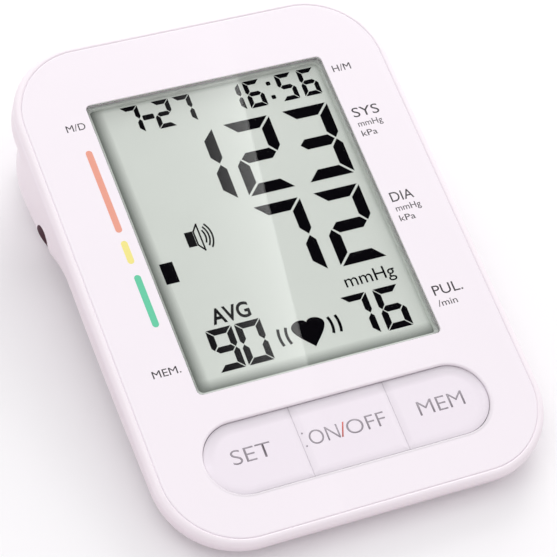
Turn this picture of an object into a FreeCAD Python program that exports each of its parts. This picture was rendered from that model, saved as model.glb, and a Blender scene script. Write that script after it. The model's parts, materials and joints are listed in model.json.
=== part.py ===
import FreeCAD, Part
import math
import os

# Table-top blood pressure monitor: a wedge shaped case with a large display,
# three keys in one slot, an air socket for the cuff hose in its left wall and
# a deep hump under the rear half for the batteries, the pump and the valve.
#
# Two frames are used, both in millimetres.
#   Deck frame: x right, y up the sloping face, z out of the face, with its
#   origin in the middle of the face. Every piece is drawn in it.
#   Row frame: the deck frame turned about x by face_slope and moved, so that
#   the feet stand on z = 0 and the case is centred on x = 0, y = 0.

V = FreeCAD.Vector
X_AXIS = V(1, 0, 0)

# ---- sizes that drive the face and the case ----
window_width = 66.4
window_length = 85.3
window_side = 16.8
window_rear = 16.65
window_slot_gap = 8.5
slot_length = 76.2
slot_width = 19.2
slot_side = 11.9
slot_front = 10.75
main_board_length = 49.4
board_front_gap = 4.25
board_rear_gap = 1.8
cell_radius = 5.25
cell_length = 43.7
cell_pitch = 10.8
first_cell_room = 9.1
first_cell_step = 9.8
last_cell_room = 1.45
bay_rear_gap = 7.8

# ---- the face: as wide and as long as the window, the keys, the board and the batteries need ----
bay_reach = first_cell_room + first_cell_step + 2 * cell_pitch + cell_radius + last_cell_room
face_stack = slot_front + slot_width + window_slot_gap + window_length + window_rear
inner_stack = slot_front + slot_width + board_front_gap + main_board_length + board_rear_gap
inner_stack += bay_reach + bay_rear_gap
panel_width = max(window_width + 2 * window_side, slot_length + 2 * slot_side)
panel_length = max(face_stack, inner_stack)
window_y = panel_length / 2 - window_rear - window_length / 2
slot_y = -panel_length / 2 + slot_front + slot_width / 2
bay_rear = panel_length / 2 - bay_rear_gap
second_cell_y = bay_rear - last_cell_room - cell_radius - 2 * cell_pitch
first_cell_y = second_cell_y - first_cell_step
bay_front = first_cell_y - first_cell_room

# ---- case ----
panel_corner = 19.1
panel_thick = 1.2
panel_gap = 0.1
rim_width = 1.9
case_width = panel_width + 2 * (panel_gap + rim_width)
case_length = panel_length + 2 * (panel_gap + rim_width)
case_corner = panel_corner + panel_gap + rim_width
hump_corner = 30.0
rim_round = 1.5
rim_inner_round = 0.35
deck_thick = 1.6
wall = 2.0
parting = 6.5
parting_step = 0.25
lap_height = 1.4
lap_gap = 0.1
front_depth = 8.2
front_floor_drop = 9.3928
slab_tilt = 4.1
face_slope = 10.5
slab_round = 6.5
hump_round = 11.0
hump_start = bay_front - 3.2
hump_full = hump_start + 15.0
hump_ref = hump_full + 9.0
hump_start_bend = 22.0
hump_full_bend = 20.0
body_height = 60.0

# ---- display ----
window_corner = 1.4
lens_gap = 0.1
lens_drop = 0.2
lens_flange = 1.5
lens_flange_thick = 0.7
gasket_wall = 0.8
gasket_gap = 0.1
glass_drop = 3.0
glass_thick = 2.0
glass_margin = 2.8
glass_gap = 0.15
reflector_thick = 0.2
reflector_margin = 0.4
holder_wall = 2.2
holder_floor = 1.4
holder_ear_inset = 6.0
holder_ear_reach = 2.3
holder_ear_radius = 3.2
strip_width = 2.0
strip_end = 5.0
strip_inset = 2.6
strip_slot_gap = 0.3

# ---- keys ----
slot_round = 0.6
key_gap = 0.14
key_parting = 0.08
key_split = 12.8
key_drop = 0.45
key_border = 1.5
key_border_drop = 0.3
key_ridge_round = 4.0
key_top_thick = 1.3
key_wall = 1.0
key_flange = 0.7
key_flange_thick = 0.5
key_flange_gap = 0.1
key_travel = 0.5
key_stem_radius = 2.0
switch_centre_offset = 24.6
switch_size = 6.0
switch_height = 1.2
plunger_radius = 1.6
plunger_rise = 0.6
plunger_reach = 0.5
plunger_gap = 0.08
plunger_room = 0.1

# ---- boards ----
board_thick = 1.2
key_board_width = slot_length + 9.8
key_board_length = slot_width + 4.0
key_board_drop = 5.4
key_board_corner = 4.0
board_clear = 0.3
main_board_width = case_width - 11.0
main_board_front = slot_y + slot_width / 2 + board_front_gap
main_board_rear = bay_front - board_rear_gap
main_board_corner = 2.0
post_radius = 2.2
post_pilot = 0.8
post_clear = 1.1
pin_radius = 1.0
key_post_x = slot_length / 2 + 2.8
key_post_front = slot_y - 8.15
key_post_rear = slot_y + 7.35
board_post_x = case_width / 2 - 8.5
board_post_front = main_board_front + 7.0
board_post_rear = main_board_rear - 3.0
small_head_radius = 1.8
small_head_height = 0.9
small_shank_length = 3.2
ribbon_width = 12.0
ribbon_thick = 0.3
ribbon_overlap = 3.0
chip_height = 1.0
controller_size = 12.0
memory_width = 5.0
memory_length = 4.0
driver_width = 6.2
driver_length = 5.0
crystal_width = 6.0
crystal_length = 3.5

# ---- case screws ----
screw_x = case_width / 2 - 7.2
screw_front_y = slot_y - 2.15
screw_rear_x = case_width / 2 - 8.0
screw_rear_y = case_length / 2 - 19.2
screw_head_radius = 2.4
screw_head_height = 1.4
screw_shank_radius = 1.25
screw_shank_length = 4.6
screw_pilot_gap = 0.05
screw_hole_radius = 1.6
screw_well_radius = 2.9
screw_seat_thick = 1.2
screw_column_radius = 3.9
screw_boss_radius = 3.0
front_seat_drop = 6.5
rear_seat_drop = 9.5
cross_length = 2.8
cross_width = 0.7
cross_depth = 0.8

# ---- battery bay ----
valve_x = -case_width / 2 + 9.6
pump_x = valve_x + 16.2
bay_left = pump_x + 12.2
bay_wall = 1.2
bay_roof_gap = 0.55
bay_corner = 2.5
roof_step_start = 3.0
roof_step_end = 3.1
cell_nub_radius = 1.9
cell_nub_height = 0.8
cell_rest = 0.5
plate_size = 7.6
plate_thick = 0.4
spring_room = 3.2
spring_wire = 0.35
spring_small = 1.7
spring_large = 3.4
spring_turns = 2.5
door_thick = 1.8
door_gap = 0.25
hook_width = 7.0
hook_reach = 1.8
hook_root = 1.5
hook_thick = 1.2
hook_gap = 0.35
latch_width = 11.0
latch_reach = 0.9
latch_root = 4.0
door_cut_top = 17.0
grip_setback = 4.5
grip_rib_height = 0.5
grip_rib_width = 0.8
grip_rib_pitch = 1.9
grip_rib_count = 4
grip_rib_length = 12.0

# ---- air parts ----
motor_start = second_cell_y + 7.4
valve_start = motor_start - 3.9
socket_y = valve_start - 11.1
socket_drop = 15.9
socket_recess = 4.35
socket_recess_depth = 3.0
socket_bore = 2.3
socket_bore_length = 8.0
socket_end_thick = 1.4
socket_body_radius = 5.8
socket_body_gap = 0.1
socket_lip = 2.4
socket_boss_wall = 1.3
socket_boss_length = 6.5
socket_barb_radius = 1.9
socket_barb_length = 2.0
side_barb_length = 2.0
air_way = 0.8
tube_wall = 0.7
tube_cover = 2.6
hose_bend = 2.9
barb_bore_gap = 0.05
pump_width = 20.0
motor_thick = 15.4
motor_length = 23.0
hub_radius = 3.0
hub_length = 1.0
head_width = 16.0
head_thick = 12.6
head_length = 9.0
head_round = 2.0
head_air_way = 3.0
pad_thick = 0.8
cradle_thick = 0.9
cradle_length = 13.0
cradle_setback = 1.0
valve_width = 9.6
valve_length = 10.4
valve_height = 11.0
valve_floor = 22.5
nozzle_radius = 1.5
nozzle_length = 3.5
manifold_x = pump_x - 1.3
manifold_y = socket_y - 5.3
manifold_drop = 11.2
manifold_length = 13.0
manifold_size = 4.4
manifold_height = 5.6
manifold_round = 0.8
manifold_hose_x = manifold_x - 3.7
head_nozzle_rise = 4.0
sensor_nozzle_radius = 1.0
sensor_nozzle_sink = 0.5
sensor_x = manifold_x
sensor_y = manifold_y - 12.7
sensor_size = 7.4
sensor_height = 2.8

# ---- speaker and power inlet ----
speaker_x = 20.0
speaker_y = bay_front - 16.7
speaker_radius = 8.0
speaker_thick = 2.3
speaker_rib = 0.9
speaker_rib_height = 1.6
basket_share = 0.6
magnet_share = 0.55
speaker_rib_gap = 0.1
grille_hole = 0.65
grille_pitch = 2.3
grille_rings = 2
inlet_y = main_board_rear - 8.4
inlet_width = 7.5
inlet_height = 2.6
inlet_length = 6.6
inlet_wall = 0.35
inlet_setback = 1.0
inlet_gap = 0.4
inlet_tongue = 0.6
inlet_tongue_setback = 0.8

# ---- feet ----
foot_height = 1.2
foot_pocket = 0.8
foot_gap = 0.1
foot_round = 0.4
front_foot_radius = 4.5
front_foot_x = case_width / 2 - 16.0
front_foot_y = -case_length / 2 + 13.2
rear_foot_radius = 3.2
rear_foot_x = case_width / 2 - 13.4
rear_foot_y = hump_ref + 2.0

# ---- levels below the face, in the deck frame ----
deck_top = -panel_thick
deck_bottom = deck_top - deck_thick
glass_top = -glass_drop
glass_bottom = glass_top - glass_thick
tray_floor = glass_bottom - reflector_thick
main_board_top = tray_floor - holder_floor
main_board_bottom = main_board_top - board_thick
key_board_top = -key_board_drop
key_board_bottom = key_board_top - board_thick
switch_top = key_board_top + switch_height
plunger_top = switch_top + plunger_rise
glass_width = window_width + 2 * glass_margin
glass_length = window_length + 2 * glass_margin
holder_width = glass_width + 2 * (glass_gap + holder_wall)
holder_length = glass_length + 2 * (glass_gap + holder_wall)
holder_ear_x = glass_width / 2 - holder_ear_inset
holder_ear_y = window_y + holder_length / 2 + holder_ear_reach
strip_length = glass_width - 2 * strip_end

# ---- the two slopes under the case ----
slab_slope = math.tan(math.radians(slab_tilt))
floor_slope = math.tan(math.radians(face_slope))
hump_depth = front_floor_drop + (hump_ref - front_foot_y) * floor_slope
hump_floor = (hump_depth - hump_ref * floor_slope) * math.cos(math.radians(face_slope))
floor_drop = hump_floor + foot_height
bay_length = cell_length + cell_nub_height + 2 * plate_thick + spring_room
bay_right = bay_left + bay_length


def slab_depth(y):
    return front_depth + (y + case_length / 2) * slab_slope


def hump_floor_depth(y):
    return hump_depth + (y - hump_ref) * floor_slope


def rounded(width, length, radius, low, high, x=0.0, y=0.0, rear_radius=None):
    """A prism with a rounded rectangle as its plan; the rear corners may have their own radius."""
    rear = radius if rear_radius is None else rear_radius
    right, back = x + width / 2, y + length / 2
    left, front = x - width / 2, y - length / 2
    corners = [
        (right - radius, front + radius, radius, -90),
        (right - rear, back - rear, rear, 0),
        (left + rear, back - rear, rear, 90),
        (left + radius, front + radius, radius, 180),
    ]
    arcs = []
    for cx, cy, r, start in corners:
        circle = Part.Circle(V(cx, cy, low), V(0, 0, 1), r)
        arcs.append(Part.Edge(circle, math.radians(start), math.radians(start + 90)))
    edges = []
    for arc, following in zip(arcs, arcs[1:] + arcs[:1]):
        edges.append(arc)
        ends = arc.valueAt(arc.LastParameter), following.valueAt(following.FirstParameter)
        if ends[0].distanceToPoint(ends[1]) > 1e-6:
            edges.append(Part.makeLine(*ends))
    return Part.Face(Part.Wire(edges)).extrude(V(0, 0, high - low))


def slab_box(x0, x1, y0, y1, z0, z1):
    return Part.makeBox(x1 - x0, y1 - y0, z1 - z0, V(x0, y0, z0))


def rod(radius, x, y, z0, z1):
    return Part.makeCylinder(radius, z1 - z0, V(x, y, z0))


def rod_x(radius, x0, x1, y, z):
    return Part.makeCylinder(radius, x1 - x0, V(x0, y, z), X_AXIS)


def rod_y(radius, y0, y1, x, z):
    return Part.makeCylinder(radius, y1 - y0, V(x, y0, z), V(0, 1, 0))


def bent_path(points, bends):
    """Straight runs joined by tangent arcs; bends gives the radius at each inner point."""
    edges = []
    start = points[0]
    for before, corner, after, radius in zip(points, points[1:], points[2:], bends):
        back = (before - corner).normalize()
        ahead = (after - corner).normalize()
        half = back.getAngle(ahead) / 2
        setback = radius / math.tan(half)
        first, last = corner + back * setback, corner + ahead * setback
        middle = corner + (back + ahead).normalize() * (radius / math.sin(half) - radius)
        edges.append(Part.makeLine(start, first))
        edges.append(Part.Arc(first, middle, last).toShape())
        start = last
    edges.append(Part.makeLine(start, points[-1]))
    return Part.Wire(edges)


def join(shapes):
    return shapes[0].multiFuse(shapes[1:]).removeSplitter()


def levelled(shape):
    """Takes a shape drawn with level z, as the case stands, into the deck frame."""
    turned = shape.copy()
    turned.rotate(V(0, 0, 0), X_AXIS, -face_slope)
    return turned


# ---- outer and inner forms of the case ----


def underside_prism(inset, with_hump):
    """All that lies above the underside; inset moves the underside up, square to itself."""
    far = case_length / 2 + 30.0
    top = body_height
    points = [V(0, -far, top), V(0, -far, -slab_depth(-far))]
    bends = []
    if with_hump:
        points.append(V(0, hump_start, -slab_depth(hump_start)))
        points.append(V(0, hump_full, -hump_floor_depth(hump_full)))
        points.append(V(0, far, -hump_floor_depth(far)))
        bends = [hump_start_bend, hump_full_bend]
    else:
        points.append(V(0, far, -slab_depth(far)))
    lower = bent_path(points[1:], bends)
    upper = [Part.makeLine(points[-1], V(0, far, top)), Part.makeLine(V(0, far, top), points[0])]
    upper.append(Part.makeLine(points[0], points[1]))
    face = Part.Face(Part.Wire(lower.Edges + upper))
    if inset:
        face = face.makeOffset2D(-inset)
    face.translate(V(-case_width, 0, 0))
    return face.extrude(V(2 * case_width, 0, 0))


def case_body(inset, with_hump):
    """The case as one solid block, its lower edge rounded; the round grows from slab to hump."""
    rear = hump_corner if with_hump else case_corner
    block = rounded(case_width - 2 * inset, case_length - 2 * inset, case_corner - inset,
                    -body_height, 0.0, rear_radius=rear - inset)
    block = block.common(underside_prism(inset, with_hump)).removeSplitter().Solids[0]

    def round_at(point):
        share = (point.y - hump_start / 2) / (hump_full + 4.0 - hump_start / 2)
        share = min(1.0, max(0.0, share)) if with_hump else 0.0
        return slab_round + (hump_round - slab_round) * share - inset

    picked = []
    for number, edge in enumerate(block.Edges, start=1):
        box = edge.BoundBox
        upright = box.XLength < 1e-6 and box.YLength < 1e-6
        across = box.YLength < 1e-3 and abs(box.YMin) < case_length / 2 - inset - 0.5
        if box.ZMax > -0.01 or upright or across:
            continue
        ends = [edge.valueAt(edge.FirstParameter), edge.valueAt(edge.LastParameter)]
        picked.append((number, round_at(ends[0]), round_at(ends[1])))
    document = FreeCAD.newDocument()
    base = document.addObject("Part::Feature", "block")
    base.Shape = block
    fillet = document.addObject("Part::Fillet", "rounded")
    fillet.Base = base
    fillet.Edges = picked
    document.recompute()
    body = fillet.Shape.Solids[0].copy()
    FreeCAD.closeDocument(document.Name)
    return body


outer_top = case_body(0.0, False)
outer_low = case_body(parting_step, True)
inner_room = case_body(parting_step + wall, True)
lap_room = case_body(parting_step + wall / 2, True)
lap_ring = case_body(parting_step + wall / 2 + lap_gap, True)
door_inside = case_body(parting_step + door_thick, True)


def layer(body, low, high):
    """The stretch of a body between two levels."""
    return body.common(slab_box(-case_width, case_width, -case_length, case_length, low, high))


def key_slot(low, high, grow=0.0):
    return rounded(slot_length + 2 * grow, slot_width + 2 * grow, slot_width / 2 + grow - 1e-4,
                   low, high, y=slot_y)


def window_block(grow, low, high):
    return rounded(window_width + 2 * grow, window_length + 2 * grow, window_corner + max(grow, 0.0),
                   low, high, y=window_y)


def key_pins():
    return [(-key_post_x, key_post_front), (key_post_x, key_post_front)]


def key_posts():
    return [(-key_post_x, key_post_rear), (key_post_x, key_post_rear)]


def board_posts():
    return [(side * board_post_x, y) for side in (-1, 1)
            for y in (board_post_front, board_post_rear)]


def ear_posts():
    return [(-holder_ear_x, holder_ear_y), (holder_ear_x, holder_ear_y)]


def case_screw_places():
    """Each case screw: x, y and the level where the two case halves meet on it."""
    front = [(side * screw_x, screw_front_y, -front_seat_drop) for side in (-1, 1)]
    rear = [(side * screw_rear_x, screw_rear_y, -rear_seat_drop) for side in (-1, 1)]
    return front + rear


# ---- front half ----


def edges_at(shape, level, inside=None):
    """Edges that lie flat at one level, all of them or those inside a width and length."""
    found = []
    for edge in shape.Edges:
        box = edge.BoundBox
        if abs(box.ZMin - level) > 1e-4 or abs(box.ZMax - level) > 1e-4:
            continue
        if inside is None or inside(box):
            found.append(edge)
    return found


def make_front_case():
    shell = layer(outer_top, -parting, 0.0)
    rim = edges_at(shell, 0.0)
    shell = shell.makeFillet(rim_round, rim)
    recess = rounded(panel_width + 2 * panel_gap, panel_length + 2 * panel_gap,
                     panel_corner + panel_gap, deck_top, 1.0)
    shell = shell.cut(recess)
    rim_x = panel_width / 2 + panel_gap
    inner = edges_at(shell, 0.0, lambda box: box.XMax < rim_x + 0.01 and box.XMin > -rim_x - 0.01)
    shell = shell.makeFillet(rim_inner_round, inner)
    cavity = layer(inner_room, -parting - 1.0, deck_bottom)
    rebate = layer(lap_room, -parting - 1.0, -parting + lap_height + lap_gap)
    shell = shell.cut(cavity).cut(rebate)
    shell = shell.cut(window_block(0.0, deck_bottom - 1.0, 1.0))
    shell = shell.cut(window_block(lens_flange + lens_gap, deck_top - lens_flange_thick, 1.0))
    shell = shell.cut(key_slot(deck_bottom - 1.0, 1.0))
    posts = []
    for x, y in key_posts():
        posts.append((x, y, post_radius, key_board_top, post_pilot))
    pins = [rod(post_radius, x, y, key_board_top, deck_bottom + 0.1) for x, y in key_pins()]
    pins += [rod(pin_radius, x, y, key_board_bottom, key_board_top) for x, y in key_pins()]
    for x, y in board_posts():
        posts.append((x, y, post_radius, main_board_top, post_pilot))
    for x, y in ear_posts():
        posts.append((x, y, post_radius, tray_floor, post_pilot))
    for x, y, seat in case_screw_places():
        posts.append((x, y, screw_boss_radius, seat, screw_shank_radius + screw_pilot_gap))
    solids = [rod(radius, x, y, low, deck_bottom + 0.1) for x, y, radius, low, _ in posts]
    shell = join([shell] + solids + pins)
    for x, y, _, low, pilot in posts:
        shell = shell.cut(rod(pilot, x, y, low - 1.0, deck_bottom + 0.2))
    return shell


def make_face_panel():
    panel = rounded(panel_width, panel_length, panel_corner, -panel_thick, 0.0)
    panel = panel.makeFillet(rim_inner_round, edges_at(panel, 0.0))
    opening = key_slot(-panel_thick - 1.0, 1.0)
    panel = panel.cut(window_block(0.0, -panel_thick - 1.0, 1.0)).cut(opening)
    reach = slot_y + slot_width / 2 + 0.01
    lip = edges_at(panel, 0.0, lambda box: box.YMax < reach and box.YMin > reach - slot_width - 0.02)
    return panel.makeFillet(slot_round, lip)


def make_display_lens():
    plate = window_block(-lens_gap, deck_top - 0.1, -lens_drop)
    flange = window_block(lens_flange, deck_top - lens_flange_thick, deck_top)
    return join([plate, flange])


def make_lcd_gasket():
    low, high = glass_top, deck_top - lens_flange_thick
    return window_block(-gasket_gap, low, high).cut(
        window_block(-gasket_gap - gasket_wall, low - 1.0, high + 1.0))


def glass_block(margin, low, high):
    return slab_box(-glass_width / 2 - margin, glass_width / 2 + margin,
                    window_y - glass_length / 2 - margin, window_y + glass_length / 2 + margin, low, high)


def make_lcd_glass():
    return glass_block(0.0, glass_bottom, glass_top)


def strip_centre_y():
    return window_y - glass_length / 2 + strip_inset


def make_lcd_reflector():
    half = glass_width / 2 - reflector_margin
    front = strip_centre_y() + strip_width / 2 + strip_slot_gap + reflector_margin
    rear = window_y + glass_length / 2 - reflector_margin
    return slab_box(-half, half, front, rear, tray_floor, glass_bottom)


def make_contact_strip():
    y = strip_centre_y()
    half = strip_length / 2
    return slab_box(-half, half, y - strip_width / 2, y + strip_width / 2, main_board_top, glass_bottom)


def make_lcd_holder():
    tray = slab_box(-holder_width / 2, holder_width / 2, window_y - holder_length / 2,
                    window_y + holder_length / 2, main_board_top, deck_bottom)
    ears = []
    for x, y in ear_posts():
        low = main_board_top
        ears.append(rod(holder_ear_radius, x, y, low, tray_floor))
        back = window_y + holder_length / 2 - 0.5
        ears.append(slab_box(x - holder_ear_radius, x + holder_ear_radius, back, y, low, tray_floor))
    tray = join([tray] + ears)
    tray = tray.cut(glass_block(glass_gap, tray_floor, 1.0))
    y = strip_centre_y()
    slot_half = strip_width / 2 + strip_slot_gap
    length_half = strip_length / 2 + strip_slot_gap
    tray = tray.cut(slab_box(-length_half, length_half, y - slot_half, y + slot_half,
                             main_board_top - 1.0, 0.0))
    for x, y in ear_posts():
        tray = tray.cut(rod(post_clear, x, y, main_board_top - 1.0, 0.0))
    return tray


# ---- boards ----


def make_main_board():
    length = main_board_rear - main_board_front
    board = rounded(main_board_width, length, main_board_corner, main_board_bottom, main_board_top,
                    y=(main_board_rear + main_board_front) / 2)
    for x, y in board_posts():
        board = board.cut(rod(post_clear, x, y, main_board_bottom - 1.0, 0.0))
    return board


def make_key_board():
    board = rounded(key_board_width, key_board_length, key_board_corner, key_board_bottom,
                    key_board_top, y=slot_y)
    for x, y in key_posts() + key_pins():
        board = board.cut(rod(post_clear, x, y, key_board_bottom - 1.0, 0.0))
    for x, y, _ in case_screw_places():
        board = board.cut(rod(screw_column_radius + board_clear, x, y, key_board_bottom - 1.0, 0.0))
    return board


def switch_places():
    return [-switch_centre_offset, 0.0, switch_centre_offset]


def make_switch_bodies():
    bodies = []
    half = switch_size / 2
    for x in switch_places():
        body = slab_box(x - half, x + half, slot_y - half, slot_y + half, key_board_top, switch_top)
        floor = switch_top - plunger_reach - key_travel - plunger_room
        pocket = rod(plunger_radius + plunger_gap, x, slot_y, floor, 0.0)
        bodies.append(body.cut(pocket))
    return Part.makeCompound(bodies)


def small_screw(x, y, seat):
    """A thread-forming screw, head down, its head bearing up against the level seat."""
    head = rod(small_head_radius, x, y, seat - small_head_height, seat)
    shank = rod(post_pilot, x, y, seat - 0.1, seat + small_shank_length)
    return join([head, shank])


def make_board_screws():
    screws = [small_screw(x, y, key_board_bottom) for x, y in key_posts()]
    screws += [small_screw(x, y, main_board_bottom) for x, y in board_posts()]
    screws += [small_screw(x, y, main_board_top) for x, y in ear_posts()]
    return Part.makeCompound(screws)


def make_key_ribbon():
    """Flat cable under the two boards, from the key board to the main board."""
    board_edge = slot_y + key_board_length / 2
    near = board_edge - ribbon_overlap
    far = main_board_front + ribbon_overlap
    low, deep = key_board_bottom, main_board_bottom
    thick = ribbon_thick
    outline = [V(0, near, low), V(0, board_edge + 0.2, low), V(0, main_board_front - 0.2, deep),
               V(0, far, deep), V(0, far, deep - thick), V(0, main_board_front - 0.4, deep - thick),
               V(0, board_edge, low - thick), V(0, near, low - thick)]
    lines = [Part.makeLine(a, b) for a, b in zip(outline, outline[1:] + outline[:1])]
    ribbon = Part.Face(Part.Wire(lines)).extrude(V(ribbon_width, 0, 0))
    ribbon.translate(V(-ribbon_width / 2, 0, 0))
    return ribbon


def make_board_chips():
    """Packages under the main board: controller, memory, driver and clock crystal."""
    top = main_board_bottom
    front, quarter = main_board_front, main_board_width / 4
    places = [(-controller_size / 2, front + 2 * controller_size, controller_size, controller_size),
              (-quarter, front + 2 * controller_size, memory_width, memory_length),
              (-quarter, front + controller_size, driver_width, driver_length),
              (quarter / 2, front + controller_size, driver_length, driver_width),
              (1.5 * quarter, front + 1.5 * controller_size, crystal_width, crystal_length)]
    chips = []
    for x, y, width, length in places:
        chips.append(slab_box(x - width / 2, x + width / 2, y - length / 2, y + length / 2,
                              top - chip_height, top))
    return Part.makeCompound(chips)


# ---- keys ----


def key_span(index):
    """Left and right limits of one key along the slot."""
    edges = [-slot_length, -key_split, key_split, slot_length]
    return edges[index] + key_parting / 2, edges[index + 1] - key_parting / 2


def key_outline(index, inset, level):
    """Outline of one key at a level, smaller all round by the inset; the end keys have a round end."""
    left, right = key_span(index)
    round_x = (slot_length - slot_width) / 2
    half = slot_width / 2 - key_gap - inset
    low, high = slot_y - half, slot_y + half
    near = -round_x if index == 0 else left + inset
    far = round_x if index == 2 else right - inset
    corners = [V(near, low, level), V(far, low, level), V(far, high, level), V(near, high, level)]
    edges = [Part.makeLine(a, b) for a, b in zip(corners, corners[1:] + corners[:1])]
    if index == 0:
        edges[3] = Part.Arc(corners[3], V(near - half, slot_y, level), corners[0]).toShape()
    if index == 2:
        edges[1] = Part.Arc(corners[1], V(far + half, slot_y, level), corners[2]).toShape()
    return Part.Wire(edges)


def make_key(index):
    """A hollow key whose top falls away in a border round its flat middle."""
    left, right = key_span(index)
    cut = slab_box(left, right, slot_y - slot_width, slot_y + slot_width, -20.0, 1.0)
    flange_top = deck_bottom - key_flange_gap
    flange_low = flange_top - key_flange_thick
    shoulder = -key_drop - key_border_drop
    cap = Part.Face(key_outline(index, 0.0, flange_low)).extrude(V(0, 0, shoulder - flange_low))
    outlines = [key_outline(index, 0.0, shoulder), key_outline(index, key_border, -key_drop)]
    crown = Part.makeLoft(outlines, True, True)
    cap = join([cap, crown])
    cap = cap.makeFillet(key_ridge_round, edges_at(cap, -key_drop))
    flange = key_slot(flange_low, flange_top, key_flange).common(cut)
    shape = join([cap, flange])
    inside = slab_box(left + key_wall, right - key_wall, slot_y - slot_width, slot_y + slot_width,
                      -20.0, 1.0)
    hollow = key_slot(flange_low - 1.0, -key_drop - key_top_thick, -key_gap - key_wall).common(inside)
    shape = shape.cut(hollow)
    stem = rod(key_stem_radius, switch_places()[index], slot_y, plunger_top,
               -key_drop - key_top_thick + 0.1)
    return join([shape, stem])


def make_plunger(index):
    return rod(plunger_radius, switch_places()[index], slot_y, switch_top - plunger_reach, plunger_top)


# ---- rear half ----


def cell_centres():
    """Centre of each cell, y and z: the first lies on the ramp, the rest side by side on the floor."""
    stand_off = door_thick + cell_rest + cell_radius
    ramp = (hump_floor_depth(hump_full) - slab_depth(hump_start)) / (hump_full - hump_start)
    first = hump_floor_depth(hump_full) - (hump_full - first_cell_y) * ramp
    first -= stand_off * math.sqrt(1 + ramp * ramp)
    centres = [(first_cell_y, -first)]
    for k in range(3):
        y = second_cell_y + k * cell_pitch
        centres.append((y, -hump_floor_depth(y) + stand_off / math.cos(math.radians(face_slope))))
    return centres


def bay_prism(grow, x0, x1):
    """The battery bay's room; grow makes it larger by the bay's own wall."""
    centres = cell_centres()
    reach = cell_radius + bay_roof_gap + grow
    front, rear = bay_front - grow, bay_rear + grow
    first_roof = centres[0][1] + reach
    second_roof = centres[1][1] + reach
    step_start = centres[0][0] + roof_step_start + grow / 2
    step_end = centres[1][0] - roof_step_end + grow / 2
    rear_roof = second_roof - (rear - centres[1][0]) * floor_slope
    outline = [V(0, front, -body_height), V(0, front, first_roof), V(0, step_start, first_roof),
               V(0, step_end, second_roof + roof_step_end * floor_slope), V(0, rear, rear_roof),
               V(0, rear, -body_height)]
    lines = [Part.makeLine(a, b) for a, b in zip(outline, outline[1:] + outline[:1])]
    room = Part.Face(Part.Wire(lines)).extrude(V(x1 - x0, 0, 0))
    room.translate(V(x0, 0, 0))
    return room


def door_outline(gap):
    """Plan of the battery opening, smaller all round by the gap."""
    return rounded(bay_length - 2 * gap, bay_rear - bay_front - 2 * gap, bay_corner, -body_height, 0.0,
                   x=(bay_left + bay_right) / 2, y=(bay_front + bay_rear) / 2)


def latch_tab(gap):
    """The tongue at the rear edge of the door and, with a gap, its notch in the case."""
    x = (bay_left + bay_right) / 2
    half = latch_width / 2 + gap
    start = bay_rear - latch_root
    return slab_box(x - half, x + half, start, bay_rear - door_gap + latch_reach + gap, -body_height, 0.0)


def hook_places():
    quarter = bay_length / 4
    return [bay_left + quarter, bay_right - quarter]


def door_pivot():
    """The line the door turns on: the outer corner of its front edge, y and z in the deck frame."""
    y = bay_front + door_gap
    column = slab_box(bay_left + 10.0, bay_left + 11.0, y, y + 0.5, -body_height, 0.0)
    piece = outer_low.common(column)
    front = [v.Point.z for v in piece.Vertexes if abs(v.Point.y - y) < 1e-5]
    return y, min(front)


def skin_tilt(y):
    """Slope of the underside at y, in degrees, falling to the rear."""
    x = (bay_left + bay_right) / 2
    return math.degrees(math.atan(underside_depth(x, y + 0.5) - underside_depth(x, y - 0.5)))


def make_battery_door():
    skin = outer_low.cut(door_inside)
    door = skin.common(door_outline(door_gap).fuse(latch_tab(0.0)))
    door = max(door.Solids, key=lambda solid: solid.Volume)
    y, z = door_pivot()
    tilt = skin_tilt(y)
    hooks = []
    for x in hook_places():
        arm = slab_box(x - hook_width / 2, x + hook_width / 2, -hook_reach, hook_root,
                       wall + hook_gap, wall + hook_gap + hook_thick)
        root = slab_box(x - hook_width / 2, x + hook_width / 2, 0.1, hook_root, door_thick - 0.4,
                        wall + hook_gap + 0.2)
        hook = join([arm, root])
        hook.rotate(V(0, 0, 0), X_AXIS, -tilt)
        hook.translate(V(0, y, z))
        hooks.append(hook)
    centre = (bay_left + bay_right) / 2
    ribs = []
    for k in range(grip_rib_count):
        y_rib = bay_rear - grip_setback - k * grip_rib_pitch
        block = slab_box(centre - grip_rib_length / 2, centre + grip_rib_length / 2, y_rib - grip_rib_width,
                         y_rib, -hump_floor_depth(y_rib) - grip_rib_height, -hump_floor_depth(y_rib) + 1.0)
        ribs.append(block)
    return join([door] + hooks + ribs)


def make_screw_column(x, y, seat):
    return rod(screw_column_radius, x, y, -body_height, seat)


def cut_screw_well(shape, x, y, seat):
    shape = shape.cut(rod(screw_hole_radius, x, y, -body_height, seat + 1.0))
    return shape.cut(rod(screw_well_radius, x, y, -body_height, seat - screw_seat_thick))


def foot_places():
    front = [(side * front_foot_x, front_foot_y, front_foot_radius) for side in (-1, 1)]
    rear = [(side * rear_foot_x, rear_foot_y, rear_foot_radius) for side in (-1, 1)]
    return front + rear


def underside_depth(x, y):
    """How far below the face the outer skin lies at one place."""
    probe = Part.makeLine(V(x, y, -1.0), V(x, y, -body_height))
    hit = outer_low.common(probe)
    return -hit.BoundBox.ZMin


def foot_at(x, y, radius, pocket):
    """A round foot that stands square to the floor, or with pocket its seat in the case."""
    angle = math.radians(face_slope)
    skin = underside_depth(x, y)
    skin_level = y * math.sin(angle) - skin * math.cos(angle)
    level_y = y * math.cos(angle) + skin * math.sin(angle)
    grow = foot_gap if pocket else 0.0
    low = -floor_drop - 1.0 if pocket else -floor_drop
    foot = rod(radius + grow, x, level_y, low, skin_level + foot_pocket)
    if not pocket:
        foot = foot.makeFillet(foot_round, edges_at(foot, -floor_drop))
    return levelled(foot)


def make_rubber_feet():
    return Part.makeCompound([foot_at(x, y, radius, False) for x, y, radius in foot_places()])


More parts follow.
